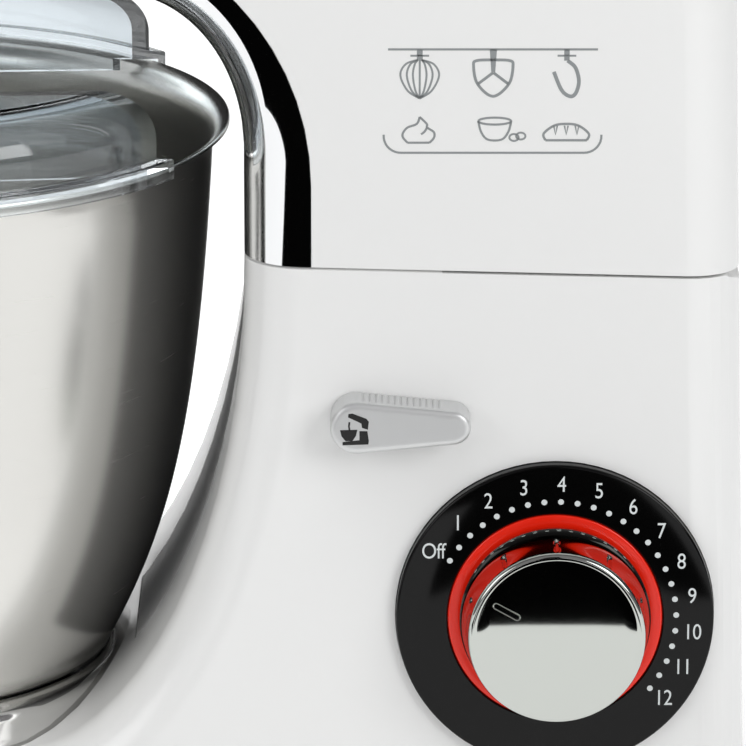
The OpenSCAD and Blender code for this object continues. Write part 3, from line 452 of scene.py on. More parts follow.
def loft(rings):
    """Skin over rings of equally many points, closed at both ends."""
    n = len(rings[0])
    points = [p for ring in rings for p in ring]
    faces = [
        (k * n + i, k * n + (i + 1) % n, (k + 1) * n + (i + 1) % n, (k + 1) * n + i)
        for k in range(len(rings) - 1)
        for i in range(n)
    ]
    last = (len(rings) - 1) * n
    return points, faces + [tuple(range(n - 1, -1, -1)), tuple(last + i for i in range(n))]


def head_form():
    """Outside of the head: arch over the bowl, lip, brow, crown and back."""
    arch_steps, lip_steps, top_steps = 32, 28, 40

    def outline(s):
        """Side view, from the middle (0) to the flat side (1)."""
        r, h = ARCH_R + EDGE_R * s, ARCH_H + EDGE_R * s
        c = (COLUMN_FRONT - ARCH_R, UNDER_Z - ARCH_H)
        front, back = COLUMN_FRONT + EDGE_R * s, EDGE_R * s
        under, top = c[1] + h, HEAD_TOP - 37 * s
        start = -NOSE_X + 32 + (-42 + NOSE_X - 32) * s
        nose, mid = -NOSE_X + 58 * s, 272 + 4 * s
        lip = [(start, under), (start - 22 + 10 * s, under), (nose, under + 11 * (1 - s) + 5), (nose, mid)]
        brow = [(nose, mid), (nose, 312 - 22 * s), (-40 + 22 * s, top), (62, top)]
        high, low = back_x(302) - back, back_x(252) - back
        crown = [(62, top), (172 - 12 * s, top), (high, 302 - 16 * s), (low, 250)]
        pts = arc(c, r, h, 0, 90, arch_steps) + curve(lip, lip_steps)
        pts += curve(brow, top_steps)[1:] + curve(crown, top_steps)[1:]
        return pts + [(back_x(140) - back, 140), (back_x(80) - back, 80), (front, 80), (front, 140)]

    def ramp(a, b, n):
        return [a + (b - a) * i / n for i in range(1, n + 1)]

    depth = [EDGE_R] * (arch_steps + 1) + [20] + ramp(24, 64, lip_steps)
    depth += ramp(64, 60, top_steps) + ramp(56, EDGE_R, top_steps) + [EDGE_R] * 4
    return side_rounded(outline(0), outline(1), depth)


def column_form():
    """Outside of the column with its hollow front."""
    flare_x, steps = 45.0, 64
    a, b = COLUMN_FRONT - flare_x, SEAM_Z - 1.5 - BASE_TOP

    def outline(d):
        pts = []
        for i in range(steps + 1):
            t = math.radians(90 * (1 - i / steps))
            nx, nz = math.cos(t) / a, math.sin(t) / b
            size = math.hypot(nx, nz)
            x = flare_x + a * math.cos(t) + d * nx / size
            pts.append((x, BASE_TOP + b - b * math.sin(t) - d * nz / size))
        low, high = -20, 200
        pts += [(COLUMN_FRONT + d, high), (back_x(high) - d, high)]
        return pts + [(back_x(low) - d, low), (flare_x, low)]

    return side_rounded(outline(0), outline(EDGE_R), [EDGE_R] * (steps + 5))


def plate_form():
    """Outside of the base plate, round in front and with a rounded upper edge."""
    base_r = half_size("base_housing", 1)
    blend_r = 60.0
    blend_y = COLUMN_HALF + blend_r
    blend_x = math.sqrt((base_r + blend_r) ** 2 - blend_y ** 2)
    angle = math.degrees(math.atan2(blend_y, blend_x))
    back = back_x(BASE_TOP) - 0.6
    corner = 20.0
    edge = arc((0, 0), EDGE_R, EDGE_R, 0, 90, 15)
    rings = []
    for d, z in [(0.0, -20.0)] + [(EDGE_R - x, BASE_TOP - EDGE_R + y) for x, y in edge]:
        half = arc((0, 0), base_r - d, base_r - d, 180, angle, 80)
        half += arc((blend_x, blend_y), blend_r + d, blend_r + d, 180 + angle, 270, 24)[1:]
        half += arc((back - corner, COLUMN_HALF - corner), corner - d, corner - d, 90, 0, 16)
        rings.append([(x + BOWL_X, y, z) for x, y in half + [(x, -y) for x, y in half[:0:-1]]])
    return loft(rings)


def shade_like(mesh, forms, reach):
    """Gives a faceted copy the normals of the smooth forms it was cut from, up to reach mm away."""
    trees = []
    for points, faces in forms:
        verts = [Vector(p) * MM for p in points]
        form = mesh_from("form", points, faces)
        normals = [v.normal.copy() for v in form.vertices]
        for polygon in form.polygons:
            if len(polygon.vertices) > 4:
                for i in polygon.vertices:
                    normals[i] = polygon.normal.copy()
        trees.append((BVHTree.FromPolygons(verts, faces), verts, normals, faces))
        bpy.data.meshes.remove(form)
    split = [n.vector.copy() for n in mesh.corner_normals]
    for polygon in mesh.polygons:
        for loop in polygon.loop_indices:
            place = mesh.vertices[mesh.loops[loop].vertex_index].co
            best = LEAST_FACING
            for tree, verts, normals, faces in trees:
                near, _, index, distance = tree.find_nearest(place)
                if near is None or distance > reach * MM:
                    continue
                corners = faces[index][:4]
                weights = [0.25] * 4
                if len(faces[index]) <= 4:
                    weights = poly_3d_calc([verts[i] for i in corners], near)
                normal = sum((normals[i] * w for i, w in zip(corners, weights)), Vector()).normalized()
                facing = normal.dot(polygon.normal)
                if facing < 0:
                    normal, facing = -normal, -facing
                if facing > best:
                    best = facing
                    split[loop] = normal
    mesh.normals_split_custom_set(split)


def refine(mesh, form, cell, reach=0.35):
    """Cuts long edges down to cell mm and moves the new points onto the smooth form, if it is that near."""
    points, faces = form
    tree = BVHTree.FromPolygons([Vector(p) * MM for p in points], faces)
    work = bmesh.new()
    work.from_mesh(mesh)
    for _ in range(6):
        bmesh.ops.triangulate(work, faces=work.faces)
        long = [e for e in work.edges if e.calc_length() > cell * MM]
        if not long:
            break
        bmesh.ops.subdivide_edges(work, edges=long, cuts=1)
    for vert in work.verts:
        near, _, _, distance = tree.find_nearest(vert.co)
        if distance < reach * MM:
            vert.co = near
    work.to_mesh(mesh)
    work.free()


def merged_copy(node, mat, name, angle=30.0, forms=(), reach=0.5, cell=None):
    """A smooth copy of a CAD node: doubles merged, flat faces kept flat up to their rounded edges."""
    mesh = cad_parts[node].data.copy()
    mesh.materials.clear()
    if cell:
        tidy(mesh)
        refine(mesh, forms[0], cell)
    tidy(mesh, angle)
    mesh.polygons.foreach_set("material_index", [0] * len(mesh.polygons))
    if forms:
        shade_like(mesh, forms, reach)
    return new_object(name, mesh, mat)


def revolve(name, profile, steps, wave=None):
    """Closed surface from (r, z) points, in millimetres, round Z. wave(angle, r, z) may change r."""
    points, faces = [], []
    n = len(profile)
    for k in range(steps):
        angle = 2 * math.pi * k / steps
        for r, z in profile:
            r = wave(angle, r, z) if wave else r
            points.append((r * math.cos(angle), r * math.sin(angle), z))
    for k in range(steps):
        for i in range(n - 1):
            a, b = k * n + i, (k + 1) % steps * n + i
            faces.append((a, b, b + 1, a + 1))
    return mesh_from(name, points, faces)


def dial_frame(height=0.0):
    """Matrix of the dial: z points out of the disc, and 0 is the disc's face."""
    face = shift(DIAL_X, -half_width(DIAL_Z) - BEZEL_PROUD, DIAL_Z)
    return face @ turned(90 - DRAFT, "X") @ shift(0, 0, height)


def side_frame(x, z, proud=0.0):
    """Matrix of a place on the near side: x to the right, y up, z out of the wall."""
    return shift(x, -half_width(z), z) @ turned(90 - DRAFT, "X") @ shift(0, 0, proud)


def smooth_path(points, closed=False, steps=8):
    """Catmull-Rom curve through the points."""
    n = len(points)
    get = (lambda i: points[i % n]) if closed else (lambda i: points[min(max(i, 0), n - 1)])
    out = []
    for i in range(n if closed else n - 1):
        a, b, c, d = [Vector(get(i + k)) for k in (-1, 0, 1, 2)]
        for s in range(steps):
            t = s / steps
            bend = (2 * a - 5 * b + 4 * c - d) * t * t + (3 * b - a - 3 * c + d) * t ** 3
            out.append(0.5 * (2 * b + (c - a) * t + bend))
    if not closed:
        out.append(Vector(points[-1]))
    return [tuple(p) for p in out]


def stroke(path, width, closed=False):
    """Flat line of one width along a path, as (points, faces) in the plane."""
    pts = [Vector(p) for p in path]
    n = len(pts)
    points, faces = [], []
    for i, p in enumerate(pts):
        before = pts[i - 1] if (closed or i > 0) else p
        after = pts[(i + 1) % n] if (closed or i < n - 1) else p
        along = (after - before).normalized()
        side = Vector((-along.y, along.x)) * width / 2
        points += [tuple(p + side) + (0.0,), tuple(p - side) + (0.0,)]
    for i in range(n if closed else n - 1):
        a, b = 2 * i, 2 * ((i + 1) % n)
        faces.append((a + 1, b + 1, b, a))
    return points, faces


def filled(path):
    """Flat patch inside a path, as (points, faces)."""
    return [tuple(p) + (0.0,) for p in path], [tuple(range(len(path)))]


def print_on(name, shapes, matrix, mat, body):
    """Joins flat shapes in millimetres, puts them in place and lets them ride on a body."""
    points, faces = [], []
    for pts, fcs in shapes:
        start = len(points)
        points += pts
        faces += [tuple(i + start for i in f) for f in fcs]
    mesh = mesh_from(name, points, faces, smooth=False)
    mesh.transform(matrix)
    obj = new_object(name, mesh, mat)
    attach(obj, body)


# Operators


class MIXER_OT_inner_parts(bpy.types.Operator):
    """Gives the parts that keep their CAD shape their finish"""

    bl_idname = "mixer.inner_parts"
    bl_label = "Finish inner parts"

    def execute(self, context):
        for finish, nodes in PLAIN_FINISHES.items():
            for node in nodes:
                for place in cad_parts[node].material_slots:
                    place.material = finish()
        return {"FINISHED"}


class MIXER_OT_housings(bpy.types.Operator):
    """Makes the smooth mouldings of base, column and head"""

    bl_idname = "mixer.housings"
    bl_label = "Mouldings"

    def execute(self, context):
        head = (head_form(),)
        base = (column_form(), plate_form())
        shells = (
            ("base_housing", "base", white_abs, "column and base moulding", base, 0.6, None),
            ("front_panel", "base", grained_abs, "textured front strip", (), 0.0, None),
            ("head_housing", "head", white_abs, "head moulding", head, 0.8, None),
            ("chrome_arch", "head", chrome_plate, "plated arch", head, 0.8, 3.0),
            ("underside_cover", "head", dark_gloss_abs, "underside moulding", head, 0.8, None),
        )
        for node, body, finish, name, forms, reach, cell in shells:
            obj = merged_copy(node, finish(), name, 30.0, forms, reach, cell)
            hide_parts(node)
            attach(obj, body)
        return {"FINISHED"}


class MIXER_OT_bowl(bpy.types.Operator):
    """Makes the spun bowl and its foot ring"""

    bl_idname = "mixer.bowl"
    bl_label = "Bowl"

    def side(self, d):
        """Bottom and wall up to the start of the rim, d inside the outer face."""
        low = FOOT_H + 2
        knee = (FOOT_R - 5 - d, low + d * 0.5)
        bottom = [(0, low - 14.4 + d), (38, low - 14.4 + d), (FOOT_R - 22 - d * 0.4, low - 10 + d), knee]
        top = (BOWL_R - 5 - d, BOWL_H - RIM_H)
        wall = [knee, (FOOT_R + 10.6 - d, low + 30), (BOWL_R - 10.2 - d, BOWL_H * 0.42), top]
        return curve(bottom, 12) + curve(wall, 48)[1:]

    def rim(self, *places):
        """Rolled rim through places given as distance inside the rim and height over its start."""
        return curve([(BOWL_R - inside, BOWL_H - RIM_H + up) for inside, up in places], 10)[1:]

    def execute(self, context):
        outer = self.side(0) + self.rim((5, 0), (4.2, 4.6), (2.9, 6.6), (0, RIM_H - 1.3))
        inner = self.side(BOWL_WALL) + self.rim((6, 0), (5.2, 4.8), (3.8, 7.0), (0.3, RIM_H))
        profile = outer + [(BOWL_R, BOWL_H - 0.3)] + inner[::-1]
        mesh = revolve("spun bowl", profile, 256)
        tidy(mesh, 50)
        mesh.transform(shift(BOWL_X, 0, SEAT_Z))
        bowl = new_object("spun bowl", mesh, brushed_stainless())
        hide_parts("bowl")
        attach(bowl, "bowl")
        foot = merged_copy("bowl_foot", polished_stainless(), "foot ring", 40.0)
        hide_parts("bowl_foot")
        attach(foot, "bowl")
        return {"FINISHED"}


class MIXER_OT_guard(bpy.types.Operator):
    """Makes the clear splash guard: a ring with a slot, and a wall that follows the slot"""

    bl_idname = "mixer.guard"
    bl_label = "Splash guard"

    def slot(self, d):
        """Plan of the slot, d wider all round."""
        x, r = SLOT_HALF - SLOT_FRONT, SLOT_HALF + d
        return arc((x, 0), r, r, 90, 270, 72) + [(240.0, -r), (240.0, r)]

    def prism(self, name, outline, low, high):
        mesh = mesh_from(name, *loft([[(x, y, z) for x, y in outline] for z in (low, high)]))
        tidy(mesh)
        return new_object(name, mesh)

    def combine(self, target, tool, operation):
        """Joins or cuts the target with the tool, which is used up."""
        modifier = target.modifiers.new(operation, "BOOLEAN")
        modifier.operation = operation
        modifier.solver = "EXACT"
        modifier.object = tool
        result = applied(target)
        target.modifiers.remove(modifier)
        target.data = result
        bpy.data.objects.remove(tool)

    def execute(self, context):
        base = RIM_Z + 0.4
        bottom, top = low_high("splash_guard", 2)
        outer = BOWL_R + 3.0
        skirt = BOWL_R + 1.2
        side = outer - 4.0
        w = GUARD_WALL
        dome = 14.0
        c = (side - dome, top - dome)
        over = arc(c, dome, dome, 0, 90, 24) + [(0, top)]
        edge, inner = 0.8, 0.6
        lip, foot = (outer - edge, base + w - edge), (side + inner, base + w + inner)
        shell = [(skirt, bottom), (outer, bottom)] + arc(lip, edge, edge, 0, 90, 6)
        shell += arc(foot, inner, inner, 270, 180, 4) + over + [(0, top - w)]
        shell += arc(c, dome - w, dome - w, 90, 0, 20) + [(side - w, base), (skirt, base), (skirt, bottom)]
        inside = [(0, bottom), (BOWL_R - 8, bottom), (BOWL_R - 8, base), (side, base)] + over
        bodies = []
        for name, profile in (("guard shell", shell), ("guard space", inside)):
            mesh = revolve(name, profile, 240)
            tidy(mesh)
            bodies.append(new_object(name, mesh))
        ring, wall = bodies
        self.combine(wall, self.prism("slot wall", self.slot(w), bottom - 2, top + 2), "INTERSECT")
        self.combine(ring, wall, "UNION")
        self.combine(ring, self.prism("slot", self.slot(0), bottom - 2, top + 2), "DIFFERENCE")
        mesh = ring.data
        tidy(mesh, 24, 0.02)
        mesh.transform(shift(BOWL_X, 0, 0) @ turned(GUARD_TURN, "Z"))
        bpy.data.objects.remove(ring)
        obj = new_object("clear guard", mesh, clear_acrylic())
        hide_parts("splash_guard")
        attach(obj, "guard")
        return {"FINISHED"}


class MIXER_OT_hub(bpy.types.Operator):
    """Finishes the hub that carries the tool"""

    bl_idname = "mixer.hub"
    bl_label = "Hub"

    def execute(self, context):
        obj = merged_copy("hub_cover", satin_chrome(), "planetary hub", 35.0)
        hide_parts("hub_cover")
        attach(obj, "carrier")
        return {"FINISHED"}


class MIXER_OT_dial(bpy.types.Operator):
    """Makes the dial's disc, its light ring, marks and numerals"""

    bl_idname = "mixer.dial"
    bl_label = "Dial"

    def execute(self, context):
        sizes = context.scene.mixer_sizes
        back = -6.3
        disc = [(RING_R + 0.2, back), (BEZEL_R, back)] + arc((BEZEL_R - 0.8, -0.8), 0.8, 0.8, 0, 90, 6)
        disc += [(RING_R + 0.5, 0.0), (RING_R + 0.2, -0.3), (RING_R + 0.2, back)]
        ring = [(8.0, back), (RING_R, back)] + arc((RING_R - 0.5, -0.6), 0.5, 0.5, 0, 90, 5)
        ring += [(KNOB_R + 0.4, -0.5), (KNOB_R - 3.0, -1.3), (8.0, -1.4), (8.0, back)]
        rounds = (
            ("dial disc", disc, 200, black_acrylic, "dial_bezel"),
            ("light ring", ring, 160, red_acrylic, "light_ring"),
        )
        for name, profile, steps, finish, node in rounds:
            mesh = revolve(name, profile, steps)
            tidy(mesh, 35)
            mesh.transform(dial_frame())
            obj = new_object(name, mesh, finish())
            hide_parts(node)
            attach(obj, "base")

        marks = self.marks(sizes)
        marks.transform(dial_frame(PRINT_GAP))
        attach(new_object("dial marks", marks, printed_white()), "base")

        for k in range(13):
            angle = math.radians(OFF_ANGLE - 2 * k * sizes.mark_step)
            text = str(k) if k else "Off"
            radius = sizes.numeral_radius + (0.4 if k == 0 else 0.0)
            self.numeral(text, radius * math.cos(angle), radius * math.sin(angle), sizes.numeral_height)
        return {"FINISHED"}

    def marks(self, sizes):
        """Round marks along an arc, as one plain mesh in the disc's own plane."""
        tree = bpy.data.node_groups.new("marks on an arc", "GeometryNodeTree")
        face = tree.interface
        face.new_socket("Geometry", in_out="INPUT", socket_type="NodeSocketGeometry")
        face.new_socket("Geometry", in_out="OUTPUT", socket_type="NodeSocketGeometry")
        for label in ("Arc radius", "Mark radius", "Start", "Sweep"):
            face.new_socket(label, in_out="INPUT", socket_type="NodeSocketFloat")
        face.new_socket("Count", in_out="INPUT", socket_type="NodeSocketInt")
        given = add_node(tree, "NodeGroupInput").outputs
        line = {"Resolution": given["Count"], "Radius": given["Arc radius"]}
        line.update({"Start Angle": given["Start"], "Sweep Angle": given["Sweep"]})
        line = add_node(tree, "GeometryNodeCurveArc", line).outputs["Curve"]
        spot = add_node(tree, "GeometryNodeMeshCircle", {"Radius": given["Mark radius"]}, Vertices=24)
        spot.fill_type = "NGON"
        spread = {"Points": line, "Instance": spot.outputs["Mesh"]}
        place = add_node(tree, "GeometryNodeInstanceOnPoints", spread)
        solid = add_node(tree, "GeometryNodeRealizeInstances", {"Geometry": place.outputs["Instances"]})
        add_node(tree, "NodeGroupOutput", {"Geometry": solid.outputs["Geometry"]})

        base = new_object("marks base", bpy.data.meshes.new("marks base"))
        modifier = base.modifiers.new("marks", "NODES")
        modifier.node_group = tree
        values = {
            "Arc radius": sizes.mark_radius * MM,
            "Mark radius": sizes.mark_size * MM,
            "Start": math.radians(OFF_ANGLE),
            "Sweep": -math.radians(sizes.mark_step) * (sizes.mark_count - 1),
            "Count": sizes.mark_count,
        }
        for item in face.items_tree:
            if item.in_out == "INPUT" and item.name in values:
                modifier[item.identifier] = values[item.name]
        mesh = applied(base)
        mesh.materials.clear()
        base.modifiers.remove(modifier)
        bpy.data.objects.remove(base)
        return mesh

    def numeral(self, text, x, y, height):
        """One number, centred on its place on the disc."""
        font = bpy.data.curves.new("numeral " + text, "FONT")
        font.body = text
        font.align_x = font.align_y = "CENTER"
        font.size = height / CAPITAL_H * MM
        font.space_character = 0.95
        font.resolution_u = 6
        source = new_object("numeral source", font)
        mesh = applied(source)
        bpy.data.objects.remove(source)
        narrow = Matrix.Diagonal((0.82, 1, 1, 1))
        mesh.transform(dial_frame() @ shift(x, y, PRINT_GAP) @ narrow)
        mesh.name = "numeral " + text
        mesh.materials.clear()
        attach(new_object("numeral " + text, mesh, printed_white()), "base")


class MIXER_OT_knob(bpy.types.Operator):
    """Makes the plated speed knob with its grips and pointer"""

    bl_idname = "mixer.knob"
    bl_label = "Speed knob"

    grips: bpy.props.IntProperty(
        name="Grips", description="Number of grooves round the knob", default=10, min=6, max=24
    )

    def execute(self, context):
        face_r = KNOB_R - 2.2
        edge = 1.4
        low = 7.4
        profile = [(KNOB_R - 3.6, 0.4), (KNOB_R - 0.3, 0.4), (KNOB_R, 0.7), (KNOB_R, 2.0)]
        bell = [(KNOB_R - 0.05, 2.1), (KNOB_R - 1.35, 4.0), (KNOB_R - 2.2, 8.4), (face_r, KNOB_H - edge)]
        profile += curve(bell, 30) + arc((face_r - edge, KNOB_H - edge), edge, edge, 6, 84, 8)
        for i in range(1, 9):
            t = i / 8
            profile.append((face_r - edge - 4.2 * t, KNOB_H - 0.16 * (1 - t) ** 2))
        profile += [(12.0, KNOB_H), (0.0, KNOB_H)]

        def grip(angle, r, z):
            if z < low - 1 or r < face_r - edge - 0.4:
                return r
            turn = (angle - math.pi / 2) / (2 * math.pi) * self.grips
            off = abs(turn - round(turn)) / self.grips * 2 * math.pi * r
            half, depth, fade = 0.85, 0.62, 3.0
            start = math.sqrt(max(0.0, 1 - (max(0.0, low + half - z) / half) ** 2))
            start *= min(1.0, max(0.0, (KNOB_H - edge - z) / fade)) ** 0.5
            reach = half * start
            if reach <= 0 or off >= reach:
                return r
            return r - depth * start * math.cos(off / reach * math.pi / 2) ** 0.8

        mesh = revolve("speed knob", profile, 720, grip)
        tidy(mesh, 50)
        mesh.transform(dial_frame())
        obj = new_object("plated knob", mesh, smoky_chrome())
        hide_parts("speed_knob")
        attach(obj, "knob")
        self.notch()
        return {"FINISHED"}

    def notch(self):
        """Rounded rim of the pointer groove, from the edge of the face towards its middle."""
        start, end, half = 19.8, 13.0, 1.0
        path = arc((start, 0), half, half, -90, 90, 10) + arc((end, 0), half, half, 90, 270, 10)
        rings = []
        for shrink, z in ((1.0, -0.35), (1.0, 0.02), (0.86, 0.16), (0.7, 0.02), (0.45, -0.3)):
            ring = []
            for x, y in path:
                centre = min(max(x, end), start)
                ring.append((centre + (x - centre) * shrink, y * shrink, KNOB_H + z))
            rings.append(ring)
        points, faces = loft(rings)
        del faces[-2]  # open below
        mesh = mesh_from("pointer rim", points, faces)
        mesh.set_sharp_from_angle(angle=math.radians(60))
        mesh.transform(dial_frame() @ turned(OFF_ANGLE, "Z"))
        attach(new_object("pointer rim", mesh, smoky_chrome()), "knob")


class MIXER_OT_lever(bpy.types.Operator):
    """Makes the release lever with its grip ribs and its symbol"""

    bl_idname = "mixer.lever"
    bl_label = "Release lever"

    ribs: bpy.props.IntProperty(
        name="Ribs", description="Number of grooves on the lever's flank", default=13, min=5, max=20
    )

    def execute(self, context):
        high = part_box("release_lever")[1]
        end_r, pivot_r, length, proud = 7.6, 4.9, 27.2, 11.6
        pivot_x = high[0] / MM - pivot_r
        pivot_z = middle("lever_shaft")[2]
        lean = math.degrees(math.asin((end_r - pivot_r) / length))
        pitch, first, groove = 1.8, 1.0, 0.42

        def outline(inset, grooves):
            pts = arc((0, 0), pivot_r - inset, pivot_r - inset, lean - 90, 90 - lean, 20)
            flank = []
            a = (math.sin(math.radians(lean)), math.cos(math.radians(lean)))
            far = end_r - inset
            start = (a[0] * (pivot_r - inset), a[1] * (pivot_r - inset))
            end = (-length + a[0] * far, a[1] * far)
            steps = 260
            for i in range(1, steps):
                t = i / steps
                s = (1 - t) * length
                near = (s - first) / pitch
                depth = 0.0
                if grooves and -0.3 < near < self.ribs - 0.7:
                    depth = groove * max(0.0, 1 - abs(near - round(near)) * pitch / groove)
                flank.append(tuple(p + (q - p) * t - n * depth for p, q, n in zip(start, end, a)))
            back = [(x, -y) for x, y in reversed(flank)]
            return pts + flank + arc((-length, 0), far, far, 90 - lean, 270 + lean, 30) + back

        levels = [(0.0, z, True) for z in (0.4, 3.0, 6.0, proud - 3.4)] + [(0.0, proud - 3.0, False)]
        levels += [(1.9 - x, proud - 1.5 + z, False) for x, z in arc((0, 0), 1.9, 1.5, 0, 90, 10)]
        levels += [(2.3, proud, False)]
        rings = [[(x, y, z) for x, y in outline(inset, grooves)] for inset, z, grooves in levels]
        mesh = mesh_from("release lever", *loft(rings))
        mesh.set_sharp_from_angle(angle=math.radians(48))
        place = shift(pivot_x, -half_width(pivot_z), pivot_z) @ turned(90, "X")
        mesh.transform(place)
        obj = new_object("plated release lever", mesh, satin_chrome())
        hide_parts("release_lever")
        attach(obj, "lever")
        self.symbol(place @ shift(-length, 0, proud))
        return {"FINISHED"}

    def symbol(self, place):
        """Small side view of a mixer with its head up."""
        base = [(-2.9, -3.4), (2.3, -3.2), (2.4, -2.5), (2.1, -0.4), (0.5, -0.4), (0.5, -2.3), (-2.9, -2.7)]
        bowl = [(-3.4, -0.2), (0.1, -0.1), (-0.2, -1.4), (-0.9, -2.5), (-2.3, -2.5), (-3.1, -1.5)]
        head = [(2.2, -0.1), (2.4, 1.6), (1.9, 2.2), (-0.9, 3.3)]
        head += [(-1.7, 3.2), (-1.8, 2.5), (0.9, 1.2), (1.0, 0.3)]
        shapes = [filled(path) for path in (base, bowl, head)]
        shapes.append(stroke([(-1.5, 1.5), (-1.6, 0.6), (-1.5, -0.2)], 0.35))
        place = place @ shift(0, 0, 0.04) @ Matrix.Diagonal((1.4, 1.4, 1, 1))
        print_on("lever symbol", shapes, place, printed_black(), "lever")


class MIXER_OT_printing(bpy.types.Operator):
    """Prints the line drawings of tools and dough on the head"""

    bl_idname = "mixer.printing"
    bl_label = "Printed symbols"

    def execute(self, context):
        w = context.scene.mixer_sizes.print_width
        left, right = 156.2 + BOWL_X, 214.7 + BOWL_X
        rail_z = 239.2
        cx = (left + right) / 2
        cz = 225.0
        place = side_frame(cx, cz, PRINT_GAP)
        up = rail_z - cz
        half = (right - left) / 2
        gap, low = 20.8, up - 29.6
        drawings = (
            (self.whisk(w), 0.4 - gap, up),
            (self.beater(w), 0.1, up),
            (self.hook(w), gap - 0.2, up),
            (self.cream(w), 0.2 - gap, low + 5.7),
            (self.dish(w), 0.6, low + 6.2),
            (self.loaf(w), gap - 0.2, low + 5.9),
        )
        shapes = [stroke([(-half, up), (half, up)], w)]
        for drawing, x, y in drawings:
            shapes += [([(px + x, py + y, z) for px, py, z in points], faces) for points, faces in drawing]
        bend = arc((0, 0), 4.8, 4.8, 10, 90, 8)
        tray = [(-half - 1.2, low + 5.2)] + [(-half + 3.6 - x, low + 4.8 - y) for x, y in bend]
        tray += [(-x, y) for x, y in reversed(tray)]
        shapes.append(stroke(tray, w))
        print_on("printed symbols", shapes, place, printed_grey(), "head")
        return {"FINISHED"}

    def whisk(self, w):
        out = [filled([(-0.8, -3), (0.8, -3), (0.8, 0), (-0.8, 0)])]
        out.append(stroke([(-2.6, -1.8), (2.6, -1.8)], w * 0.9))
        for reach in (5.4, 3.6, 1.9):
            path = [(0.5, -3), (reach * 0.72, -4.2), (reach, -7.4), (reach * 0.62, -11.8), (0, -14)]
            for side in (-1, 1):
                out.append(stroke(smooth_path([(side * x, y) for x, y in path]), w * 0.9))
        out.append(stroke([(0, -3), (0, -14)], w * 0.9))
        return out

    def beater(self, w):
        out = [filled([(-0.55, -6.4), (0.55, -6.4), (1, 0), (-1, 0)])]
        loop = [(0, -3), (4.6, -3.2), (5.5, -4.6), (4.4, -9.8), (0, -13.4)]
        loop += [(-x, y) for x, y in loop[3:0:-1]]
        out.append(stroke(smooth_path(loop, True), w * 1.3, True))
        for side in (-1, 1):
            out.append(stroke([(0, -6.6), (side * 4.3, -9.9)], w * 1.3))
        return out

    def hook(self, w):
        out = [filled([(-0.75, -3.2), (0.75, -3.2), (0.75, 0), (-0.75, 0)])]
        out.append(stroke([(-2.6, -1.8), (2.6, -1.8)], w * 0.9))
        bend = [(0.2, -3.2), (2.4, -5.2), (3.4, -9), (2.6, -12.4), (1, -13.4), (-1.4, -11.6), (-3.6, -6.4)]
        out.append(stroke(smooth_path(bend), w * 1.7))
        return out

    def cream(self, w):
        top = [(0.2, 4.6), (-0.6, 2.6), (-3.4, 1.4), (-4.6, -0.8), (-3.2, -2.8)]
        side = [(0.2, 4.6), (2.2, 2.6), (2.3, 1.6), (4.2, 0.2), (4.2, -1.4), (3.0, -2.8)]
        fold = [(2.3, 1.6), (1.6, 0.4), (0.6, -0.4)]
        base = [(-3.2, -2.8), (3.0, -2.8)]
        return [stroke(smooth_path(path), w) for path in (top, side, fold)] + [stroke(base, w)]

    def dish(self, w):
        wall = [(-4.6, 2.9), (-3.8, -0.2), (-1.9, -2.4), (1.9, -2.4), (3.8, -0.2), (4.6, 2.9)]
        out = [stroke(arc((0, 2.9), 4.6, 1.0, 0, 345, 23), w, True), stroke(smooth_path(wall), w)]
        for egg in ((5.4, -1.8), (7.3, -1.4)):
            out.append(stroke(arc(egg, 1.3, 1.0, 0, 336, 14), w * 0.9, True))
        return out

    def loaf(self, w):
        crust = [(-5.8, -2.3), (-6.3, -0.4), (-3.4, 1.9), (0, 2.4), (3.4, 1.9), (6.3, -0.4), (5.8, -2.3)]
        out = [stroke(smooth_path(crust), w * 1.1), stroke([(-5.8, -2.3), (5.8, -2.3)], w * 1.1)]
        for x in (-3, 0, 3):
            out.append(stroke([(x - 0.5, 1.9), (x, -0.7), (x + 0.5, 1.9)], w * 0.8))
        return out


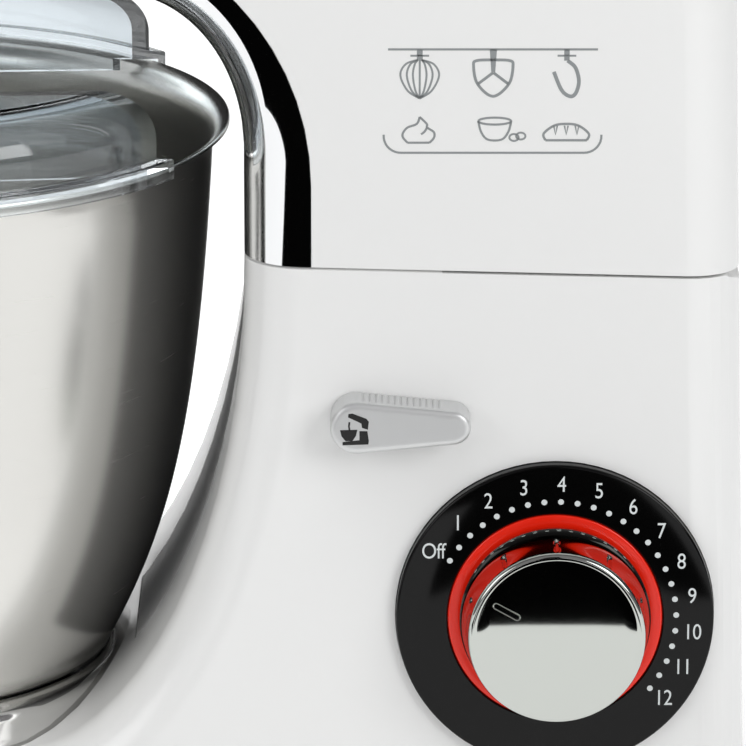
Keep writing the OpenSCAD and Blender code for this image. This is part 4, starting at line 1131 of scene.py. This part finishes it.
class MIXER_OT_stage(bpy.types.Operator):
    """Sets up the camera, the lights and a plain pale floor"""

    bl_idname = "mixer.stage"
    bl_label = "Stage"

    def execute(self, context):
        scene = context.scene
        scene.view_settings.view_transform = "Standard"
        self.camera(scene)
        self.world(scene)
        self.floor()
        self.cards()
        self.lights()
        return {"FINISHED"}

    def camera(self, scene):
        data = bpy.data.cameras.new("camera")
        data.lens = 284.91
        data.sensor_width = 36.0
        data.clip_end = 50.0
        obj = new_object("camera", data)
        place = (152.025 + BOWL_X, -1677.053, 625.720)
        looks_down = 0.2916868
        obj.location = [c * MM for c in place]
        obj.rotation_euler = (math.radians(90) - looks_down, 0, 0)
        scene.camera = obj

    def rays(self, tree, *kinds):
        """1 for a ray of one of these kinds, 0 for any other."""
        path = add_node(tree, "ShaderNodeLightPath")
        found = path.outputs[kinds[0]]
        for kind in kinds[1:]:
            pair = {0: found, 1: path.outputs[kind]}
            found = add_node(tree, "ShaderNodeMath", pair, operation="MAXIMUM").outputs[0]
        return found

    def mixed(self, tree, share, first, second):
        """First shader where share is 0, second where it is 1."""
        links = {0: share, 1: first.outputs[0], 2: second.outputs[0]}
        return add_node(tree, "ShaderNodeMixShader", links)

    def world(self, scene):
        world = bpy.data.worlds.new("studio")
        world.use_nodes = True
        scene.world = world
        tree = world.node_tree
        tree.nodes.clear()
        light = add_node(tree, "ShaderNodeBackground", Color=srgb("F4F5F6"), Strength=0.4)
        shown = add_node(tree, "ShaderNodeBackground", Color=(1, 1, 1, 1), Strength=1.0)
        place = add_node(tree, "ShaderNodeTexCoord").outputs["Generated"]
        ahead = add_node(tree, "ShaderNodeSeparateXYZ", {"Vector": place}).outputs["Y"]
        ends = {"From_Min": -0.7, "From_Max": 0.4, "To_Min": 0.34, "To_Max": 0.03}
        fall = add_node(tree, "ShaderNodeMapRange", {"Value": ahead}, **ends)
        strength = {"Strength": fall.outputs["Result"]}
        room = add_node(tree, "ShaderNodeBackground", strength, Color=srgb("F2EEF2"))
        mirror = self.mixed(tree, self.rays(tree, "Is Glossy Ray"), light, room)
        mix = self.mixed(tree, self.rays(tree, "Is Camera Ray", "Is Transmission Ray"), mirror, shown)
        add_node(tree, "ShaderNodeOutputWorld", {"Surface": mix.outputs[0]})

    def floor(self):
        size = 6000.0
        corners = [(-size, -size, 0), (size, -size, 0), (size, size, 0), (-size, size, 0)]
        mesh = mesh_from("floor", corners, [(0, 1, 2, 3)], False)
        mat = bpy.data.materials.new("white studio floor")
        mat.use_nodes = True
        tree = mat.node_tree
        tree.nodes.clear()
        plain = add_node(tree, "ShaderNodeBsdfDiffuse", Color=srgb("EDEDED"))
        glow = add_node(tree, "ShaderNodeEmission", Color=(1, 1, 1, 1), Strength=0.45)
        both = add_node(tree, "ShaderNodeAddShader", {0: plain.outputs[0], 1: glow.outputs[0]})
        seen = self.rays(tree, "Is Camera Ray", "Is Transmission Ray", "Is Glossy Ray")
        mix = self.mixed(tree, seen, plain, both)
        add_node(tree, "ShaderNodeOutputMaterial", {"Surface": mix.outputs[0]})
        new_object("floor", mesh, mat)

    def card(self, name, corners, grey=False):
        """Flat card that only reflections show."""
        # The grey card is painted shade: a sheet put where there is only the column's shadow, seen in the
        # bowl's reflection.
        cloth, colour = ("grey painted shade card", "8C8C8C") if grey else ("black flock card", "050505")
        mat = material(cloth, colour, 1.0, Specular_IOR_Level=0.0)
        obj = new_object(name, mesh_from(name, corners, [(0, 1, 2, 3)], False), mat)
        for kind in ("camera", "diffuse", "transmission", "shadow"):
            setattr(obj, "visible_" + kind, False)

    def cards(self):
        """Dark cards that polished metal shows: where the table ends, and behind the camera. Grey cards
        between bowl and column are painted shade in the bowl's mirror image.
        """
        patches = (
            ("table_end", -380, 230, -1500, -620),
            ("table_right", 85, 230, -620, -350),
            ("table_left", -380, -25, -620, -315),
        )
        # Painted shade: grey cards along the column's front, which the bowl mirrors in place of the shadowed
        # column face.
        flare = arc((38 + BOWL_X, SEAM_Z), COLUMN_FRONT - 42, BASE_TOP - SEAM_Z, 0, 60, 6)
        line = [(COLUMN_FRONT - 4 + BOWL_X, 195)] + flare
        for k, ((x0, z0), (x1, z1)) in enumerate(zip(line, line[1:])):
            self.card(f"bowl_flag_{k}", [(x0, -54, z0), (x1, -54, z1), (x1, 72, z1), (x0, 72, z0)], True)
        for name, x0, x1, y0, y1 in patches:
            self.card(name, [(x0, y0, 2), (x1, y0, 2), (x1, y1, 2), (x0, y1, 2)])
        self.card("camera_stand", [(-40, -1800, 0), (220, -1800, 0), (220, -1800, 1100), (-40, -1800, 1100)])

    def lights(self):
        lamps = (
            ("overhead softbox", (-100, -600, 1900), (0, 0, 150), 1500, 11.0),
            ("left softbox", (-1500, -1500, 1000), (0, 0, 150), 1100, 8.0),
            ("right softbox", (1500, -1500, 1100), (50, 0, 150), 1100, 17.5),
            ("rear softbox", (-700, 1100, 600), (40, 0, 90), 700, 5.0),
        )
        for name, place, aim, size, power in lamps:
            data = bpy.data.lights.new(name, "AREA")
            data.shape = "SQUARE"
            data.size = size * MM
            data.energy = power
            obj = bpy.data.objects.new(name, data)
            bpy.context.scene.collection.objects.link(obj)
            obj.location = Vector(place) * MM
            obj.rotation_euler = (Vector(aim) - Vector(place)).to_track_quat("-Z", "Y").to_euler()
            obj.visible_glossy = name in ("left softbox", "right softbox")


class MIXER_PT_panel(bpy.types.Panel):
    """Lists the mixer's pieces and settings"""

    bl_idname = "MIXER_PT_panel"
    bl_label = "Stand mixer"
    bl_space_type = "VIEW_3D"
    bl_region_type = "UI"
    bl_category = "Mixer"

    def draw(self, context):
        layout = self.layout
        for group in (context.scene.mixer_sizes, context.scene.mixer_colours):
            for key in group.__annotations__:
                layout.prop(group, key)
        for operator in PIECES:
            layout.operator(operator.bl_idname)


PIECES = (
    MIXER_OT_inner_parts,
    MIXER_OT_housings,
    MIXER_OT_bowl,
    MIXER_OT_guard,
    MIXER_OT_hub,
    MIXER_OT_dial,
    MIXER_OT_knob,
    MIXER_OT_lever,
    MIXER_OT_printing,
    MIXER_OT_stage,
)
CLASSES = (MixerSizes, MixerColours, *PIECES, MIXER_PT_panel)


def register():
    for cls in CLASSES:
        bpy.utils.register_class(cls)
    bpy.types.Scene.mixer_sizes = bpy.props.PointerProperty(type=MixerSizes)
    bpy.types.Scene.mixer_colours = bpy.props.PointerProperty(type=MixerColours)


def unregister():
    del bpy.types.Scene.mixer_colours
    del bpy.types.Scene.mixer_sizes
    for cls in reversed(CLASSES):
        bpy.utils.unregister_class(cls)


def main():
    register()
    for operator in PIECES:
        group, name = operator.bl_idname.split(".")
        getattr(getattr(bpy.ops, group), name)()


if __name__ == "__main__":
    main()
